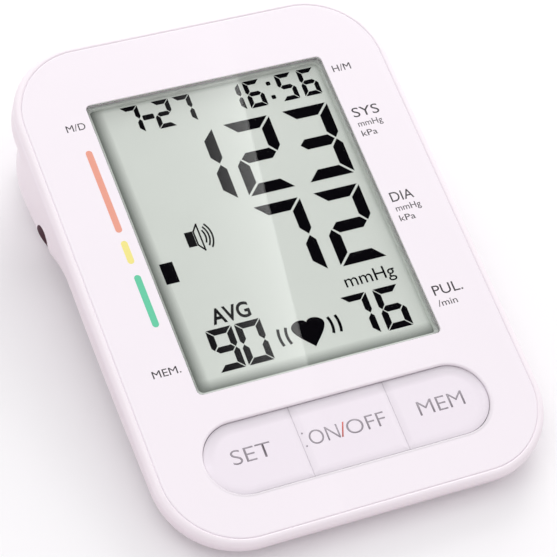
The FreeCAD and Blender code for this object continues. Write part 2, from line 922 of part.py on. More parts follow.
def socket_boss():
    outside = socket_body_radius + socket_body_gap + socket_boss_wall
    left = -case_width / 2
    return rod_x(outside, left - 1.0, left + socket_boss_length, socket_y, -socket_drop)


def grille_places():
    """Holes of the speaker grille: one in the middle and rings of six times the ring's number."""
    places = [(speaker_x, speaker_y)]
    for ring in range(1, grille_rings + 1):
        for k in range(6 * ring):
            angle = 2 * math.pi * k / (6 * ring)
            places.append((speaker_x + ring * grille_pitch * math.cos(angle),
                           speaker_y + ring * grille_pitch * math.sin(angle)))
    return places


def on_slab(shape):
    """Turns a shape drawn about its own origin to lie on the inside of the slab at the speaker."""
    shape.rotate(V(0, 0, 0), X_AXIS, -slab_tilt)
    inner = slab_depth(speaker_y) - (wall + parting_step) / math.cos(math.radians(slab_tilt))
    shape.translate(V(speaker_x, speaker_y, -inner))
    return shape


def make_rear_case():
    walls = bay_prism(bay_wall, bay_left - bay_wall, bay_right + bay_wall)
    walls = walls.cut(bay_prism(0.0, bay_left, bay_right))
    pivot_y, pivot_z = door_pivot()
    swing = math.hypot(hook_reach, wall + hook_gap + hook_thick) + hook_gap
    for x in hook_places():
        half = hook_width / 2 + hook_gap
        walls = walls.cut(rod_x(swing, x - half, x + half, pivot_y, pivot_z))
    rib = rod(speaker_radius + speaker_rib_gap + speaker_rib, 0, 0, -0.5, speaker_rib_height)
    rib = rib.cut(rod(speaker_radius + speaker_rib_gap, 0, 0, -1.0, 3.0))
    room = inner_room.cut(walls).cut(socket_boss()).cut(on_slab(rib))
    plinth = slab_box(-case_width, valve_x + valve_width / 2, valve_start, valve_start + valve_length,
                      -body_height, -valve_floor)
    room = room.cut(plinth)
    for place in case_screw_places():
        room = room.cut(make_screw_column(*place))
    shell = layer(outer_low, -body_height, -parting).cut(room)
    ring = layer(lap_ring, -parting - 0.01, -parting + lap_height).cut(inner_room)
    shell = join([shell, ring])
    below = slab_box(-case_width, case_width, -case_length, case_length, -body_height, -door_cut_top)
    shell = shell.cut(door_outline(0.0).common(below.fuse(bay_prism(0.0, bay_left, bay_right))))
    shell = shell.cut(bay_prism(0.0, bay_left, bay_right).common(inner_room))
    shell = shell.cut(latch_tab(door_gap).common(outer_low.cut(door_inside)))
    for place in case_screw_places():
        shell = cut_screw_well(shell, *place)
    outer_x = -case_width / 2
    shell = shell.cut(rod_x(socket_recess, outer_x - 1.0, outer_x + 10.0, socket_y, -socket_drop))
    shell = shell.cut(rod_x(socket_body_radius + socket_body_gap, outer_x + socket_lip, outer_x + 20.0,
                            socket_y, -socket_drop))
    for x, y in grille_places():
        shell = shell.cut(rod(grille_hole, x, y, -body_height, -parting - 2.0))
    inlet_z = main_board_bottom - inlet_height / 2
    inlet_back = case_width / 2 - inlet_setback - inlet_length - inlet_gap
    slot = slab_box(inlet_back, case_width, inlet_y - inlet_width / 2 - inlet_gap,
                    inlet_y + inlet_width / 2 + inlet_gap, inlet_z - inlet_height / 2 - inlet_gap,
                    inlet_z + inlet_height / 2 + inlet_gap)
    shell = shell.cut(slot)
    for x, y, radius in foot_places():
        shell = shell.cut(foot_at(x, y, radius, True))
    return max(shell.Solids, key=lambda solid: solid.Volume)


def make_case_screws():
    screws = []
    for x, y, seat in case_screw_places():
        bearing = seat - screw_seat_thick
        head = rod(screw_head_radius, x, y, bearing - screw_head_height, bearing)
        shank = rod(screw_shank_radius, x, y, bearing - 0.1, bearing + screw_shank_length)
        under = bearing - screw_head_height
        cross = join([slab_box(x - cross_length / 2, x + cross_length / 2, y - cross_width / 2,
                               y + cross_width / 2, under - 1.0, under + cross_depth),
                      slab_box(x - cross_width / 2, x + cross_width / 2, y - cross_length / 2,
                               y + cross_length / 2, under - 1.0, under + cross_depth)])
        screws.append(join([head, shank]).cut(cross))
    return Part.makeCompound(screws)


# ---- batteries ----


def make_cells():
    cells = []
    for k, (y, z) in enumerate(cell_centres()):
        spring_end = spring_room
        if k % 2 == 0:
            start = bay_left + plate_thick + spring_end
            can = rod_x(cell_radius, start, start + cell_length, y, z)
            end = start + cell_length
            nub = rod_x(cell_nub_radius, end - 0.1, end + cell_nub_height, y, z)
        else:
            start = bay_left + plate_thick + cell_nub_height
            can = rod_x(cell_radius, start, start + cell_length, y, z)
            nub = rod_x(cell_nub_radius, start - cell_nub_height, start + 0.1, y, z)
        cells.append(join([can, nub]))
    return Part.makeCompound(cells)


def make_contact_plates():
    plates = []
    half = plate_size / 2
    for y, z in cell_centres():
        for x in (bay_left, bay_right - plate_thick):
            plates.append(slab_box(x, x + plate_thick, y - half, y + half, z - half, z + half))
    return Part.makeCompound(plates)


def coil_spring(height, large, small):
    """A conical spring along z, made of half turns whose ends lie in one plane."""
    half_turns = int(2 * spring_turns)
    ends = []
    for k in range(half_turns + 1):
        share = k / half_turns
        side = 1 if k % 2 == 0 else -1
        ends.append(V(side * (large + (small - large) * share), 0, height * share))
    across = V(0, 1, 0)
    turns = []
    for first, last in zip(ends, ends[1:]):
        wire = Part.Face(Part.Wire([Part.makeCircle(spring_wire, first, across)]))
        axis = (last - first).cross(across)
        turns.append(wire.revolve((first + last) / 2, axis, 180 if first.x < 0 else -180))
    return turns[0].multiFuse(turns[1:])


def make_contact_springs():
    """Conical springs between the plate and the flat end of each cell, every second one turned round."""
    free = spring_room
    springs = []
    for k, (y, z) in enumerate(cell_centres()):
        coil = coil_spring(free - 2 * spring_wire, spring_large, spring_small)
        side = 1 if k % 2 == 0 else -1
        coil.rotate(V(0, 0, 0), V(0, 1, 0), 90 * side)
        x = bay_left + plate_thick + spring_wire if side > 0 else bay_right - plate_thick - spring_wire
        coil.translate(V(x, y, z))
        springs.append(coil)
    return Part.makeCompound(springs)


# ---- air parts ----


def socket_body_length():
    return socket_recess_depth + socket_bore_length + socket_end_thick


def make_cuff_socket():
    mouth = -case_width / 2 + socket_lip
    z = -socket_drop
    length = socket_body_length()
    body = rod_x(socket_body_radius, mouth, mouth + length, socket_y, z)
    barb = rod_x(socket_barb_radius, mouth + length - 0.1, mouth + length + socket_barb_length, socket_y, z)
    side = rod_y(nozzle_radius, socket_y + socket_body_radius - 1.0,
                 socket_y + socket_body_radius + side_barb_length, valve_x, z)
    body = join([body, barb, side])
    body = body.cut(rod_y(air_way, socket_y, socket_y + 20.0, valve_x, z))
    body = body.cut(rod_x(socket_recess - 0.35, mouth - 1.0, mouth + socket_recess_depth, socket_y, z))
    bore_end = mouth + socket_recess_depth + socket_bore_length
    body = body.cut(rod_x(socket_bore, mouth - 1.0, bore_end, socket_y, z))
    return body.cut(rod_x(air_way, mouth, mouth + length + socket_barb_length + 1.0, socket_y, z))


def pump_level():
    """Height of the pump's axis above the turning line, with z level."""
    return -hump_floor + wall + parting_step + pad_thick + motor_thick / 2


def make_pump_motor():
    z = pump_level()
    can = Part.makeCylinder(pump_width / 2, motor_length, V(pump_x, motor_start, z), V(0, 1, 0))
    flat = slab_box(pump_x - pump_width, pump_x + pump_width, motor_start, motor_start + motor_length,
                    z - motor_thick / 2, z + motor_thick / 2)
    end = motor_start + motor_length
    hub = rod_y(hub_radius, end - 0.1, end + hub_length, pump_x, z)
    return levelled(join([can.common(flat), hub]))


def make_pump_head():
    z = pump_level()
    half = head_thick / 2
    start = motor_start - head_length
    side = head_width / 2
    head = slab_box(pump_x - side, pump_x + side, start, motor_start, z - half, z + half)
    upright = [e for e in head.Edges if e.BoundBox.YLength > head_length - 0.1]
    head = head.makeFillet(head_round, upright)
    nozzle_z = z + head_nozzle_rise
    nozzle = rod_y(nozzle_radius, start - nozzle_length, start + 0.1, pump_x, nozzle_z)
    head = join([head, nozzle])
    way = rod_y(air_way, start - nozzle_length - 1.0, start + head_air_way, pump_x, nozzle_z)
    return levelled(head.cut(way))


def pump_nozzle_end():
    """Tip of the pump's nozzle in the deck frame."""
    angle = math.radians(face_slope)
    y = motor_start - head_length - nozzle_length
    z = pump_level() + head_nozzle_rise
    return V(pump_x, y * math.cos(angle) + z * math.sin(angle), z * math.cos(angle) - y * math.sin(angle))


def make_pump_cradle():
    """Rubber sleeve round the motor that keeps its hum out of the case."""
    z = pump_level()
    y0 = motor_start + cradle_setback
    y1 = y0 + cradle_length
    low = -hump_floor + wall + parting_step
    high = z + motor_thick / 2 + cradle_thick
    side = pump_width / 2 + cradle_thick
    block = slab_box(pump_x - side, pump_x + side, y0, y1, low, high)
    can = Part.makeCylinder(pump_width / 2, cradle_length + 2, V(pump_x, y0 - 1, z), V(0, 1, 0))
    flat = slab_box(pump_x - pump_width, pump_x + pump_width, y0 - 1, y1 + 1,
                    z - motor_thick / 2, z + motor_thick / 2)
    return levelled(block.cut(can.common(flat)))


def make_release_valve():
    low, z = -valve_floor, -socket_drop
    body = slab_box(valve_x - valve_width / 2, valve_x + valve_width / 2, valve_start,
                    valve_start + valve_length, low, low + valve_height)
    tip = valve_start - nozzle_length + tube_wall
    body = join([body, rod_y(nozzle_radius, tip, valve_start + 0.1, valve_x, z)])
    return body.cut(rod_y(air_way, tip - 1.0, valve_start + head_air_way, valve_x, z))


def sensor_nozzle_level():
    return main_board_bottom - sensor_height / 2 - sensor_nozzle_sink


def make_pressure_sensor():
    half = sensor_size / 2
    top = main_board_bottom
    body = slab_box(sensor_x - half, sensor_x + half, sensor_y - half, sensor_y + half,
                    top - sensor_height, top)
    z = sensor_nozzle_level()
    front, tip = sensor_y + half, sensor_y + half + nozzle_length
    body = join([body, rod_y(sensor_nozzle_radius, front - 0.1, tip, sensor_x, z)])
    return body.cut(rod_y(sensor_nozzle_radius / 2, sensor_y, tip + 1.0, sensor_x, z))


def make_air_manifold():
    half = manifold_size / 2
    z, up = -manifold_drop, manifold_height / 2
    body = slab_box(manifold_x - manifold_length / 2, manifold_x + manifold_length / 2,
                    manifold_y - half, manifold_y + half, z - up, z + up)
    upright = [e for e in body.Edges if e.BoundBox.ZLength > manifold_height - 0.1]
    return body.makeFillet(manifold_round, upright)


def hose(points, bends, stub_radius):
    """Soft tube along a path, a slip fit over a stub of the given radius."""
    bore = stub_radius + barb_bore_gap
    path = bent_path(points, bends)
    ahead = (points[1] - points[0]).normalize()
    sleeves = []
    for radius in (bore + tube_wall, bore):
        ring = Part.Wire([Part.makeCircle(radius, points[0], ahead)])
        sleeves.append(path.makePipeShell([ring], True, True))
    return sleeves[0].cut(sleeves[1])


def make_air_tubes():
    """The four tubes of the air circuit, each butting on the manifold or joining two stubs."""
    block = make_air_manifold()
    mouth = -case_width / 2 + socket_lip
    body_end = mouth + socket_body_length()
    level = V(0, math.cos(math.radians(face_slope)), -math.sin(math.radians(face_slope)))
    route = [V(body_end + 0.1, socket_y, -socket_drop), V(manifold_hose_x, socket_y, -socket_drop),
             V(manifold_hose_x, manifold_y, -manifold_drop)]
    from_socket = hose(route, [hose_bend], socket_barb_radius)
    nozzle_end = pump_nozzle_end()
    from_pump = hose([nozzle_end + level * tube_cover, nozzle_end - level * 6.0], [], nozzle_radius)
    sensor_end = sensor_y + sensor_size / 2 + 0.3
    z = sensor_nozzle_level()
    from_sensor = hose([V(sensor_x, sensor_end, z), V(sensor_x, manifold_y, z)], [], sensor_nozzle_radius)
    side = socket_y + socket_body_radius
    to_valve = hose([V(valve_x, side + 0.1, -socket_drop), V(valve_x, valve_start - 0.1, -socket_drop)], [],
                    nozzle_radius)
    tubes = [from_socket.cut(block), from_pump.cut(block), from_sensor.cut(block), to_valve]
    return Part.makeCompound([max(tube.Solids, key=lambda solid: solid.Volume) for tube in tubes])


# ---- speaker and power inlet ----


def make_loudspeaker():
    basket = rod(speaker_radius, 0, 0, 0.0, speaker_thick * basket_share)
    magnet = rod(speaker_radius * magnet_share, 0, 0, 0.0, speaker_thick)
    return on_slab(join([basket, magnet]))


def make_power_inlet():
    x1 = case_width / 2 - inlet_setback
    x0 = x1 - inlet_length
    top = main_board_bottom
    shell = slab_box(x0, x1, inlet_y - inlet_width / 2, inlet_y + inlet_width / 2, top - inlet_height, top)
    half = inlet_width / 2 - inlet_wall
    mouth = slab_box(x0 + inlet_wall, x1 + 1.0, inlet_y - half, inlet_y + half,
                     top - inlet_height + inlet_wall, top - inlet_wall)
    middle = top - inlet_height / 2
    tongue = slab_box(x0 + 0.1, x1 - inlet_tongue_setback, inlet_y - inlet_width / 4,
                      inlet_y + inlet_width / 4, middle - inlet_tongue / 2, middle + inlet_tongue / 2)
    return join([shell.cut(mouth), tongue])


# ---- the whole ----


def make_pieces():
    pieces = {
        "front_case": make_front_case(),
        "face_panel": make_face_panel(),
        "display_lens": make_display_lens(),
        "lcd_gasket": make_lcd_gasket(),
        "lcd_glass": make_lcd_glass(),
        "lcd_reflector": make_lcd_reflector(),
        "lcd_holder": make_lcd_holder(),
        "contact_strip": make_contact_strip(),
        "main_board": make_main_board(),
        "key_board": make_key_board(),
        "switch_bodies": make_switch_bodies(),
        "board_screws": make_board_screws(),
        "key_ribbon": make_key_ribbon(),
        "board_chips": make_board_chips(),
        "rear_case": make_rear_case(),
        "case_screws": make_case_screws(),
        "rubber_feet": make_rubber_feet(),
        "battery_door": make_battery_door(),
        "battery_cells": make_cells(),
        "contact_plates": make_contact_plates(),
        "contact_springs": make_contact_springs(),
        "cuff_socket": make_cuff_socket(),
        "pump_motor": make_pump_motor(),
        "pump_head": make_pump_head(),
        "pump_cradle": make_pump_cradle(),
        "release_valve": make_release_valve(),
        "pressure_sensor": make_pressure_sensor(),
        "air_manifold": make_air_manifold(),
        "air_tubes": make_air_tubes(),
        "loudspeaker": make_loudspeaker(),
        "power_inlet": make_power_inlet(),
    }
    for index, name in enumerate(["set", "power", "memory"]):
        pieces[name + "_key"] = make_key(index)
        pieces[name + "_plunger"] = make_plunger(index)
    return pieces


def row_placement(pieces):
    """Turns the deck frame to the way the case stands and centres the case over the origin."""
    turn = FreeCAD.Placement(V(0, 0, 0), FreeCAD.Rotation(X_AXIS, face_slope))
    low, high = [], []
    for name in ("front_case", "rear_case"):
        shape = pieces[name].copy()
        shape.Placement = turn.multiply(shape.Placement)
        box = shape.optimalBoundingBox(False)
        low.append(box.YMin)
        high.append(box.YMax)
    shift = V(0, -(min(low) + max(high)) / 2, floor_drop)
    return FreeCAD.Placement(shift, FreeCAD.Rotation(X_AXIS, face_slope))


def main():
    os.makedirs("parts", exist_ok=True)
    pieces = make_pieces()
    placement = row_placement(pieces)
    for name, shape in pieces.items():
        placed = shape.copy()
        placed.Placement = placement.multiply(placed.Placement)
        placed.exportStep("parts/" + name + ".step")


if __name__ == "__main__":
    main()
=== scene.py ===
import json
import math

import bmesh
import bpy
from bpy.props import FloatProperty, FloatVectorProperty, PointerProperty
from mathutils import Matrix, Vector
from mathutils.bvhtree import BVHTree


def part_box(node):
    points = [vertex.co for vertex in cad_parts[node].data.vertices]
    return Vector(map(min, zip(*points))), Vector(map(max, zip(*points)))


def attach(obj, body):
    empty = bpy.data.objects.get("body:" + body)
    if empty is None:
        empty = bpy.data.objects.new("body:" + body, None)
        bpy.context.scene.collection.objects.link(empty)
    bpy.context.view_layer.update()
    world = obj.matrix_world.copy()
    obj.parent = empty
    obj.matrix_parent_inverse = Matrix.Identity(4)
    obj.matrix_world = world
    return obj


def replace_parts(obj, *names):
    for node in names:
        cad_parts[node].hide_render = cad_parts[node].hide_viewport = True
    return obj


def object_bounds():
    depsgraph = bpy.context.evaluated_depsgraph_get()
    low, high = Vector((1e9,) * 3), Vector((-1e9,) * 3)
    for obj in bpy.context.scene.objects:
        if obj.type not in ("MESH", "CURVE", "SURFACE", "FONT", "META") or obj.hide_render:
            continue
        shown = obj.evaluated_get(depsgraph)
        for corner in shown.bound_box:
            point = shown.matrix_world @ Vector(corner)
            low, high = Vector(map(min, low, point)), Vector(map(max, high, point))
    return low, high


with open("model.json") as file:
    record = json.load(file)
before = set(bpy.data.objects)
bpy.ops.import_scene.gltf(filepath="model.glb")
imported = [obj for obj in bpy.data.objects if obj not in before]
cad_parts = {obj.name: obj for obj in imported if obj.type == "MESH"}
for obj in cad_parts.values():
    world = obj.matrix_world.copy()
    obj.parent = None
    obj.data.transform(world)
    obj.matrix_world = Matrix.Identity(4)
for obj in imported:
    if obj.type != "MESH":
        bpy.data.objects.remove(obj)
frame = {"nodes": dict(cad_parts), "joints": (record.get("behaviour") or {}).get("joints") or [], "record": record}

bl_info = {
    "name": "Table-top Blood Pressure Monitor",
    "version": (1, 0, 0),
    "blender": (4, 5, 0),
    "location": "3D View > Sidebar > Monitor",
    "description": "Dresses the packed monitor: display, print, key legends, finishes and a stage",
    "category": "Object",
}

# Lengths are in metres; MM turns the sizes of the part, which are given in millimetres.
# The deck frame lies in the sloping face: x right, y up the face, z out of it,
# with its origin in the middle of the face panel.

MM = 0.001
CAD_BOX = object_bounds()
BODIES = frame["record"]["behaviour"]["bodies"]

# Window, display glass and face panel
WINDOW_Y = 10.9 * MM
WINDOW_WIDTH = 66.4 * MM
WINDOW_LENGTH = 85.3 * MM
GLASS_TOP = -3.0 * MM
GLASS_THICK = 2.0 * MM
PANEL_WIDTH = 100.0 * MM
PANEL_LENGTH = 140.4 * MM
PANEL_CORNER = 19.1 * MM
SEAM_WIDTH = 0.1 * MM
RIM_DEPTH = 2.6 * MM

# Key slot, the tops of the keys, and how far the gaps between them lie from the middle
SLOT_Y = -49.85 * MM
SLOT_LENGTH = 76.2 * MM
SLOT_WIDTH = 19.2 * MM
KEY_TOP = -0.45 * MM
KEY_SPLIT = 12.8 * MM

# Air socket: its axis, the plane of its end, the depth it takes up and the radius of its mouth
SOCKET_Y = 26.5 * MM
SOCKET_Z = -15.9 * MM
SOCKET_END = -49.6 * MM
SOCKET_DEPTH = 19.6 * MM
SOCKET_MOUTH = 4.355 * MM
# The dark maroon inside the socket is painted shade of the recess, used on the rear case's bore and on the
# socket's body
SOCKET_PAINTED_SHADE = (0.180, 0.095, 0.120)

# Print and figures reach a little way into the surface they lie on
SINK = 0.01 * MM
FIGURE_LOW = GLASS_TOP - SINK
FIGURE_THICK = 0.05 * MM


def face_slope():
    """The keys slide square to the face, so their axis gives its slope."""
    axis = frame["joints"][0]["axis"]
    return math.atan2(axis[1], -axis[2])


def deck_frame():
    """Takes a point of the deck frame to the row frame, from where the display glass lies."""
    turn = Matrix.Rotation(face_slope(), 4, "X")
    low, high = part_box("lcd_glass")
    glass_centre = Vector((0, WINDOW_Y, GLASS_TOP - GLASS_THICK / 2))
    return Matrix.Translation((low + high) / 2 - turn @ glass_centre) @ turn


DECK = deck_frame()


def body_of_node(node):
    return next(body for body, nodes in BODIES.items() if node in nodes)


CASE = body_of_node("front_case")


# ---- sizes and colours a user would change ----


def length(name, description, value):
    return FloatProperty(name=name, description=description, default=value * MM, min=0.0,
                         unit="LENGTH", precision=5)


def colour(name, description, value):
    return FloatVectorProperty(name=name, description=description, default=value, size=3,
                               subtype="COLOR", min=0.0, max=1.0)


def number(name, description, value):
    return FloatProperty(name=name, description=description, default=value, min=0.0)


class MonitorCaseFinish(bpy.types.PropertyGroup):
    """Finish of the moulded case, the face and the keys."""

    front: colour("Front colour", "Colour of the front case and its rim", (0.945, 0.885, 0.925))
    face: colour("Face colour", "Colour of the printed face panel", (0.945, 0.895, 0.940))
    # The side colour is the case's plastic darkened and made pinker as painted shade, where less light reaches
    side: colour("Side colour", "Colour of the case below its rim, the rear case and the door",
                 (0.850, 0.760, 0.810))
    keys: colour("Key colour", "Colour of the three keys", (0.905, 0.850, 0.910))
    gloss: number("Roughness", "Roughness of the moulded case", 0.34)


class MonitorDisplay(bpy.types.PropertyGroup):
    """Sizes and colours of the liquid crystal display."""

    large: length("Large figure", "Height of the pressure figures", 22.0)
    medium: length("Medium figure", "Height of the pulse figures", 12.0)
    average: length("Average figure", "Height of the figures of the average", 11.75)
    small: length("Small figure", "Height of the date and time figures", 8.3)
    ink: colour("Segment colour", "Colour of a dark segment", (0.0035, 0.0030, 0.0045))
    glass: colour("Glass colour", "Colour of the display where it is clear", (0.740, 0.765, 0.735))
    edge: colour("Edge colour", "Colour of the display in the shade of its window", (0.190, 0.203, 0.190))


class MonitorPrint(bpy.types.PropertyGroup):
    """Print on the face and the keys."""

    rise: length("Print thickness", "How far the print stands above its surface", 0.012)
    ink: colour("Print colour", "Colour of the words on the face", (0.040, 0.034, 0.040))
    legend: colour("Legend colour", "Colour of the words on the keys", (0.340, 0.310, 0.345))
    slash: colour("Slash colour", "Colour of the stroke in the power legend", (0.640, 0.120, 0.090))
    high: colour("High colour", "Colour of the bar for high readings", (0.860, 0.370, 0.270))
    middle: colour("Middle colour", "Colour of the bar for raised readings", (0.930, 0.840, 0.260))
    low: colour("Low colour", "Colour of the bar for normal readings", (0.130, 0.640, 0.390))


class MonitorStage(bpy.types.PropertyGroup):
    """Camera, floor and light."""

    lens: FloatProperty(name="Focal length", description="Focal length of the camera in mm",
                        default=153.54, min=1.0)
    floor: colour("Floor colour", "Colour of the floor", (0.930, 0.930, 0.935))
    back_power: number("Back light", "Power of the low light behind on the right, in watts", 2.8)
    top_power: number("Top light", "Power of the weak light overhead, in watts", 1.5)
    card_strength: number("Card strength", "Brightness of the card that the lens mirrors", 1.75)
    sky: number("Sky strength", "Strength of the soft light from above", 0.94)
    horizon: colour("Horizon colour", "Colour of the soft light near the horizon, as a share of the sky",
                    (0.520, 0.450, 0.485))


# ---- objects and shapes ----


def add_object(name, data):
    item = bpy.data.objects.new(name, data)
    bpy.context.scene.collection.objects.link(item)
    return item


def add_mesh(name, bm, material):
    """Turns a finished shape into an object of one material."""
    mesh = bpy.data.meshes.new(name)
    bm.to_mesh(mesh)
    bm.free()
    mesh.materials.append(material)
    return add_object(name, mesh)


def add_piece(name, bm, body, material):
    """Takes a shape drawn in the deck frame to the row frame, and makes it ride on a body."""
    bmesh.ops.recalc_face_normals(bm, faces=bm.faces)
    bmesh.ops.transform(bm, matrix=DECK, verts=bm.verts)
    piece = add_mesh(name, bm, material)
    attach(piece, body)
    return piece


def shape_of_node(node):
    """A copy of a CAD node's mesh, in the row frame."""
    source = frame["nodes"][node]
    bm = bmesh.new()
    bm.from_mesh(source.data)
    bmesh.ops.transform(bm, matrix=source.matrix_world, verts=bm.verts)
    return bm


def shape_of_curve(curve):
    """The flat shape that a text or a closed curve fills; the curve itself is removed."""
    holder = add_object("holder", curve)
    bpy.context.view_layer.update()
    filled = holder.evaluated_get(bpy.context.evaluated_depsgraph_get())
    mesh = bpy.data.meshes.new_from_object(filled)
    bpy.data.objects.remove(holder)
    bpy.data.curves.remove(curve)
    bm = bmesh.new()
    bm.from_mesh(mesh)
    bpy.data.meshes.remove(mesh)
    return bm


def raise_faces(bm, faces, height):
    """Extrudes flat faces into plates of one thickness."""
    raised = bmesh.ops.extrude_face_region(bm, geom=faces)["geom"]
    tops = [item for item in raised if isinstance(item, bmesh.types.BMVert)]
    bmesh.ops.translate(bm, verts=tops, vec=(0, 0, height))


def rectangle(left, low, right, high):
    """Corners of a rectangle given in millimetres."""
    return [(x * MM, y * MM) for x, y in ((left, low), (right, low), (right, high), (left, high))]


def add_plate(bm, outline, low, height, corner=0.0):
    """A plate from a few corners; corner rounds its upright edges."""
    face = bm.faces.new([bm.verts.new((x, y, low)) for x, y in outline])
    raise_faces(bm, [face], height)
    if corner:
        upright = [edge for vert in face.verts for edge in vert.link_edges
                   if abs(edge.verts[0].co.z - edge.verts[1].co.z) > height / 2]
        bmesh.ops.bevel(bm, geom=upright, offset=corner, segments=3, profile=0.5,
                        affect="EDGES", material=-1)


def add_disc(bm, x, y, radius, low, segments):
    """A flat disc, to be raised later; gives back its corners."""
    return bmesh.ops.create_circle(bm, cap_ends=True, radius=radius, segments=segments,
                                   matrix=Matrix.Translation((x, y, low)))["verts"]


def add_arc(bm, centre, radius, thick, middle, spread, low, height):
    """A curved stroke, spun about a centre by an angle in degrees to each side of its middle."""
    place = (*centre, low)
    ends = [bm.verts.new((centre[0] + reach, centre[1], low))
            for reach in (radius - thick / 2, radius + thick / 2)]
    edge = bm.edges.new(ends)
    start = Matrix.Rotation(math.radians(middle - spread), 3, "Z")
    bmesh.ops.rotate(bm, verts=ends, cent=place, matrix=start)
    made = bmesh.ops.spin(bm, geom=[edge, *ends], cent=place, axis=(0, 0, 1),
                          angle=math.radians(2 * spread), steps=16)
    last = [item for item in made["geom_last"] if isinstance(item, bmesh.types.BMVert)]
    faces = {face for vert in last for face in vert.link_faces}
    reached = set(faces)
    while faces:
        faces = {near for face in faces for side in face.edges for near in side.link_faces} - reached
        reached |= faces
    raise_faces(bm, list(reached), height)


def shape_of_words(words, weight=0.0):
    """The flat outline of some words in type one unit high; weight thickens the strokes."""
    curve = bpy.data.curves.new("words", "FONT")
    curve.body = words
    curve.offset = weight
    curve.resolution_u = 6
    return shape_of_curve(curve)


def cap_height():
    """Height of a capital letter, which sets the scale of all words."""
    bm = shape_of_words("H")
    height = max(vert.co.y for vert in bm.verts)
    bm.free()
    return height


def raised_words(words, left, right, baseline, capital, low, height, weight=0.0):
    """Words between two ends on a baseline, with capitals of one height, all four in millimetres."""
    bm = shape_of_words(words, weight)
    start = min(vert.co.x for vert in bm.verts)
    end = max(vert.co.x for vert in bm.verts)
    scale = ((right - left) * MM / (end - start), capital * MM / CAPITAL, 1)
    bmesh.ops.translate(bm, verts=bm.verts, vec=(-start, 0, 0))
    bmesh.ops.scale(bm, verts=bm.verts, vec=scale)
    bmesh.ops.translate(bm, verts=bm.verts, vec=(left * MM, baseline * MM, low))
    bmesh.ops.remove_doubles(bm, verts=bm.verts, dist=1e-7)
    raise_faces(bm, bm.faces[:], height)
    return bm


CAPITAL = cap_height()


# ---- shader nodes ----


def feed(tree, socket, value):
    """Links a socket to another one, or sets its number or its colour."""
    if isinstance(value, bpy.types.NodeSocket):
        tree.links.new(value, socket)
    elif socket.type == "RGBA":
        socket.default_value = (*value, 1)
    else:
        socket.default_value = value


def fill(tree, node, **values):
    """Feeds some inputs of a node; an underscore stands for the space in a name."""
    for label, value in values.items():
        feed(tree, node.inputs[label.replace("_", " ")], value)
    return node


def add_node(tree, kind, **values):
    return fill(tree, tree.nodes.new("ShaderNode" + kind), **values)


def maths(tree, operation, *values):
    node = add_node(tree, "Math")
    node.operation = operation
    for socket, value in zip(node.inputs, values):
        feed(tree, socket, value)
    return node.outputs[0]


def ramp(tree, value, start, end, first=0.0, last=1.0):
    """Runs from a first to a last number while a value runs from start to end, and is level beyond."""
    return add_node(tree, "MapRange", Value=value, From_Min=start, From_Max=end, To_Min=first,
                    To_Max=last).outputs["Result"]


def mixed(tree, share, first, second):
    """A colour between two, by a share that runs over the surface."""
    node = add_node(tree, "Mix")
    node.data_type = "RGBA"
    return fill(tree, node, Factor=share, A=first, B=second).outputs["Result"]


def mix_shaders(tree, share, first, second, surface):
    """Ends a tree in two shaders, mixed by a share."""
    mix = add_node(tree, "MixShader")
    for value, socket in zip((share, first, second), mix.inputs):
        tree.links.new(value, socket)
    tree.links.new(mix.outputs["Shader"], surface)


def point(tree, label="Object"):
    return add_node(tree, "TexCoord").outputs[label]


def split(tree, vector):
    """x, y and z of a vector."""
    return add_node(tree, "SeparateXYZ", Vector=vector).outputs


def deck_coordinates(tree):
    """x, y and z of a surface point in the deck frame."""
    turned = add_node(tree, "Mapping", Vector=point(tree), Location=DECK.translation,
                      Rotation=DECK.to_euler())
    turned.vector_type = "TEXTURE"
    return split(tree, turned.outputs["Vector"])


def distance(tree, across, along):
    """Length of a line from its two legs."""
    squares = [maths(tree, "MULTIPLY", leg, leg) for leg in (across, along)]
    return maths(tree, "SQRT", maths(tree, "ADD", *squares))


# ---- shader node groups ----

SOCKET_KINDS = {"Vector": "NodeSocketVector", "Normal": "NodeSocketVector", "Color": "NodeSocketColor"}


def new_group(name, output, **inputs):
    """A shader node group, the sockets it is given and the one that it puts out."""
    group = bpy.data.node_groups.new(name, "ShaderNodeTree")

    def new_socket(label, way):
        kind = SOCKET_KINDS.get(label, "NodeSocketFloat")
        return group.interface.new_socket(name=label, in_out=way, socket_type=kind)

    new_socket("Vector", "INPUT")
    for label, value in inputs.items():
        new_socket(label, "INPUT").default_value = value
    new_socket(output, "OUTPUT")
    given = group.nodes.new("NodeGroupInput").outputs
    return group, given, group.nodes.new("NodeGroupOutput").inputs[output]


def noise_in(group, given, detail):
    return add_node(group, "TexNoise", Detail=detail, Vector=given["Vector"],
                    Scale=given["Scale"]).outputs["Fac"]


def make_tone_drift():
    """Lets a colour drift a little lighter and darker over the surface."""
    group, given, result = new_group("tone_drift", "Color", Color=(1, 1, 1, 1), Scale=40.0, Amount=0.02)
    centred = maths(group, "SUBTRACT", noise_in(group, given, 3.0), 0.5)
    lighter = maths(group, "MULTIPLY_ADD", centred, given["Amount"], 1.0)
    drifted = add_node(group, "HueSaturation", Color=given["Color"], Value=lighter)
    group.links.new(drifted.outputs["Color"], result)
    return group


def make_gloss_drift():
    """Handling marks: the roughness drifts about its own value."""
    group, given, result = new_group("gloss_drift", "Roughness", Roughness=0.4, Scale=60.0, Amount=0.08)
    centred = maths(group, "SUBTRACT", noise_in(group, given, 4.0), 0.5)
    group.links.new(maths(group, "MULTIPLY_ADD", centred, given["Amount"], given["Roughness"]), result)
    return group


def make_fine_grain():
    """The fine bloom of a moulding, as a bump."""
    group, given, result = new_group("fine_grain", "Normal", Scale=2500.0, Depth=3e-6)
    bump = add_node(group, "Bump", Strength=0.6, Distance=given["Depth"],
                    Height=noise_in(group, given, 2.0))
    group.links.new(bump.outputs["Normal"], result)
    return group


TONE_DRIFT = make_tone_drift()
GLOSS_DRIFT = make_gloss_drift()
FINE_GRAIN = make_fine_grain()


# ---- materials ----

# Patches of gloss are this much finer than patches of tone
GLOSS_FINER = 1.7

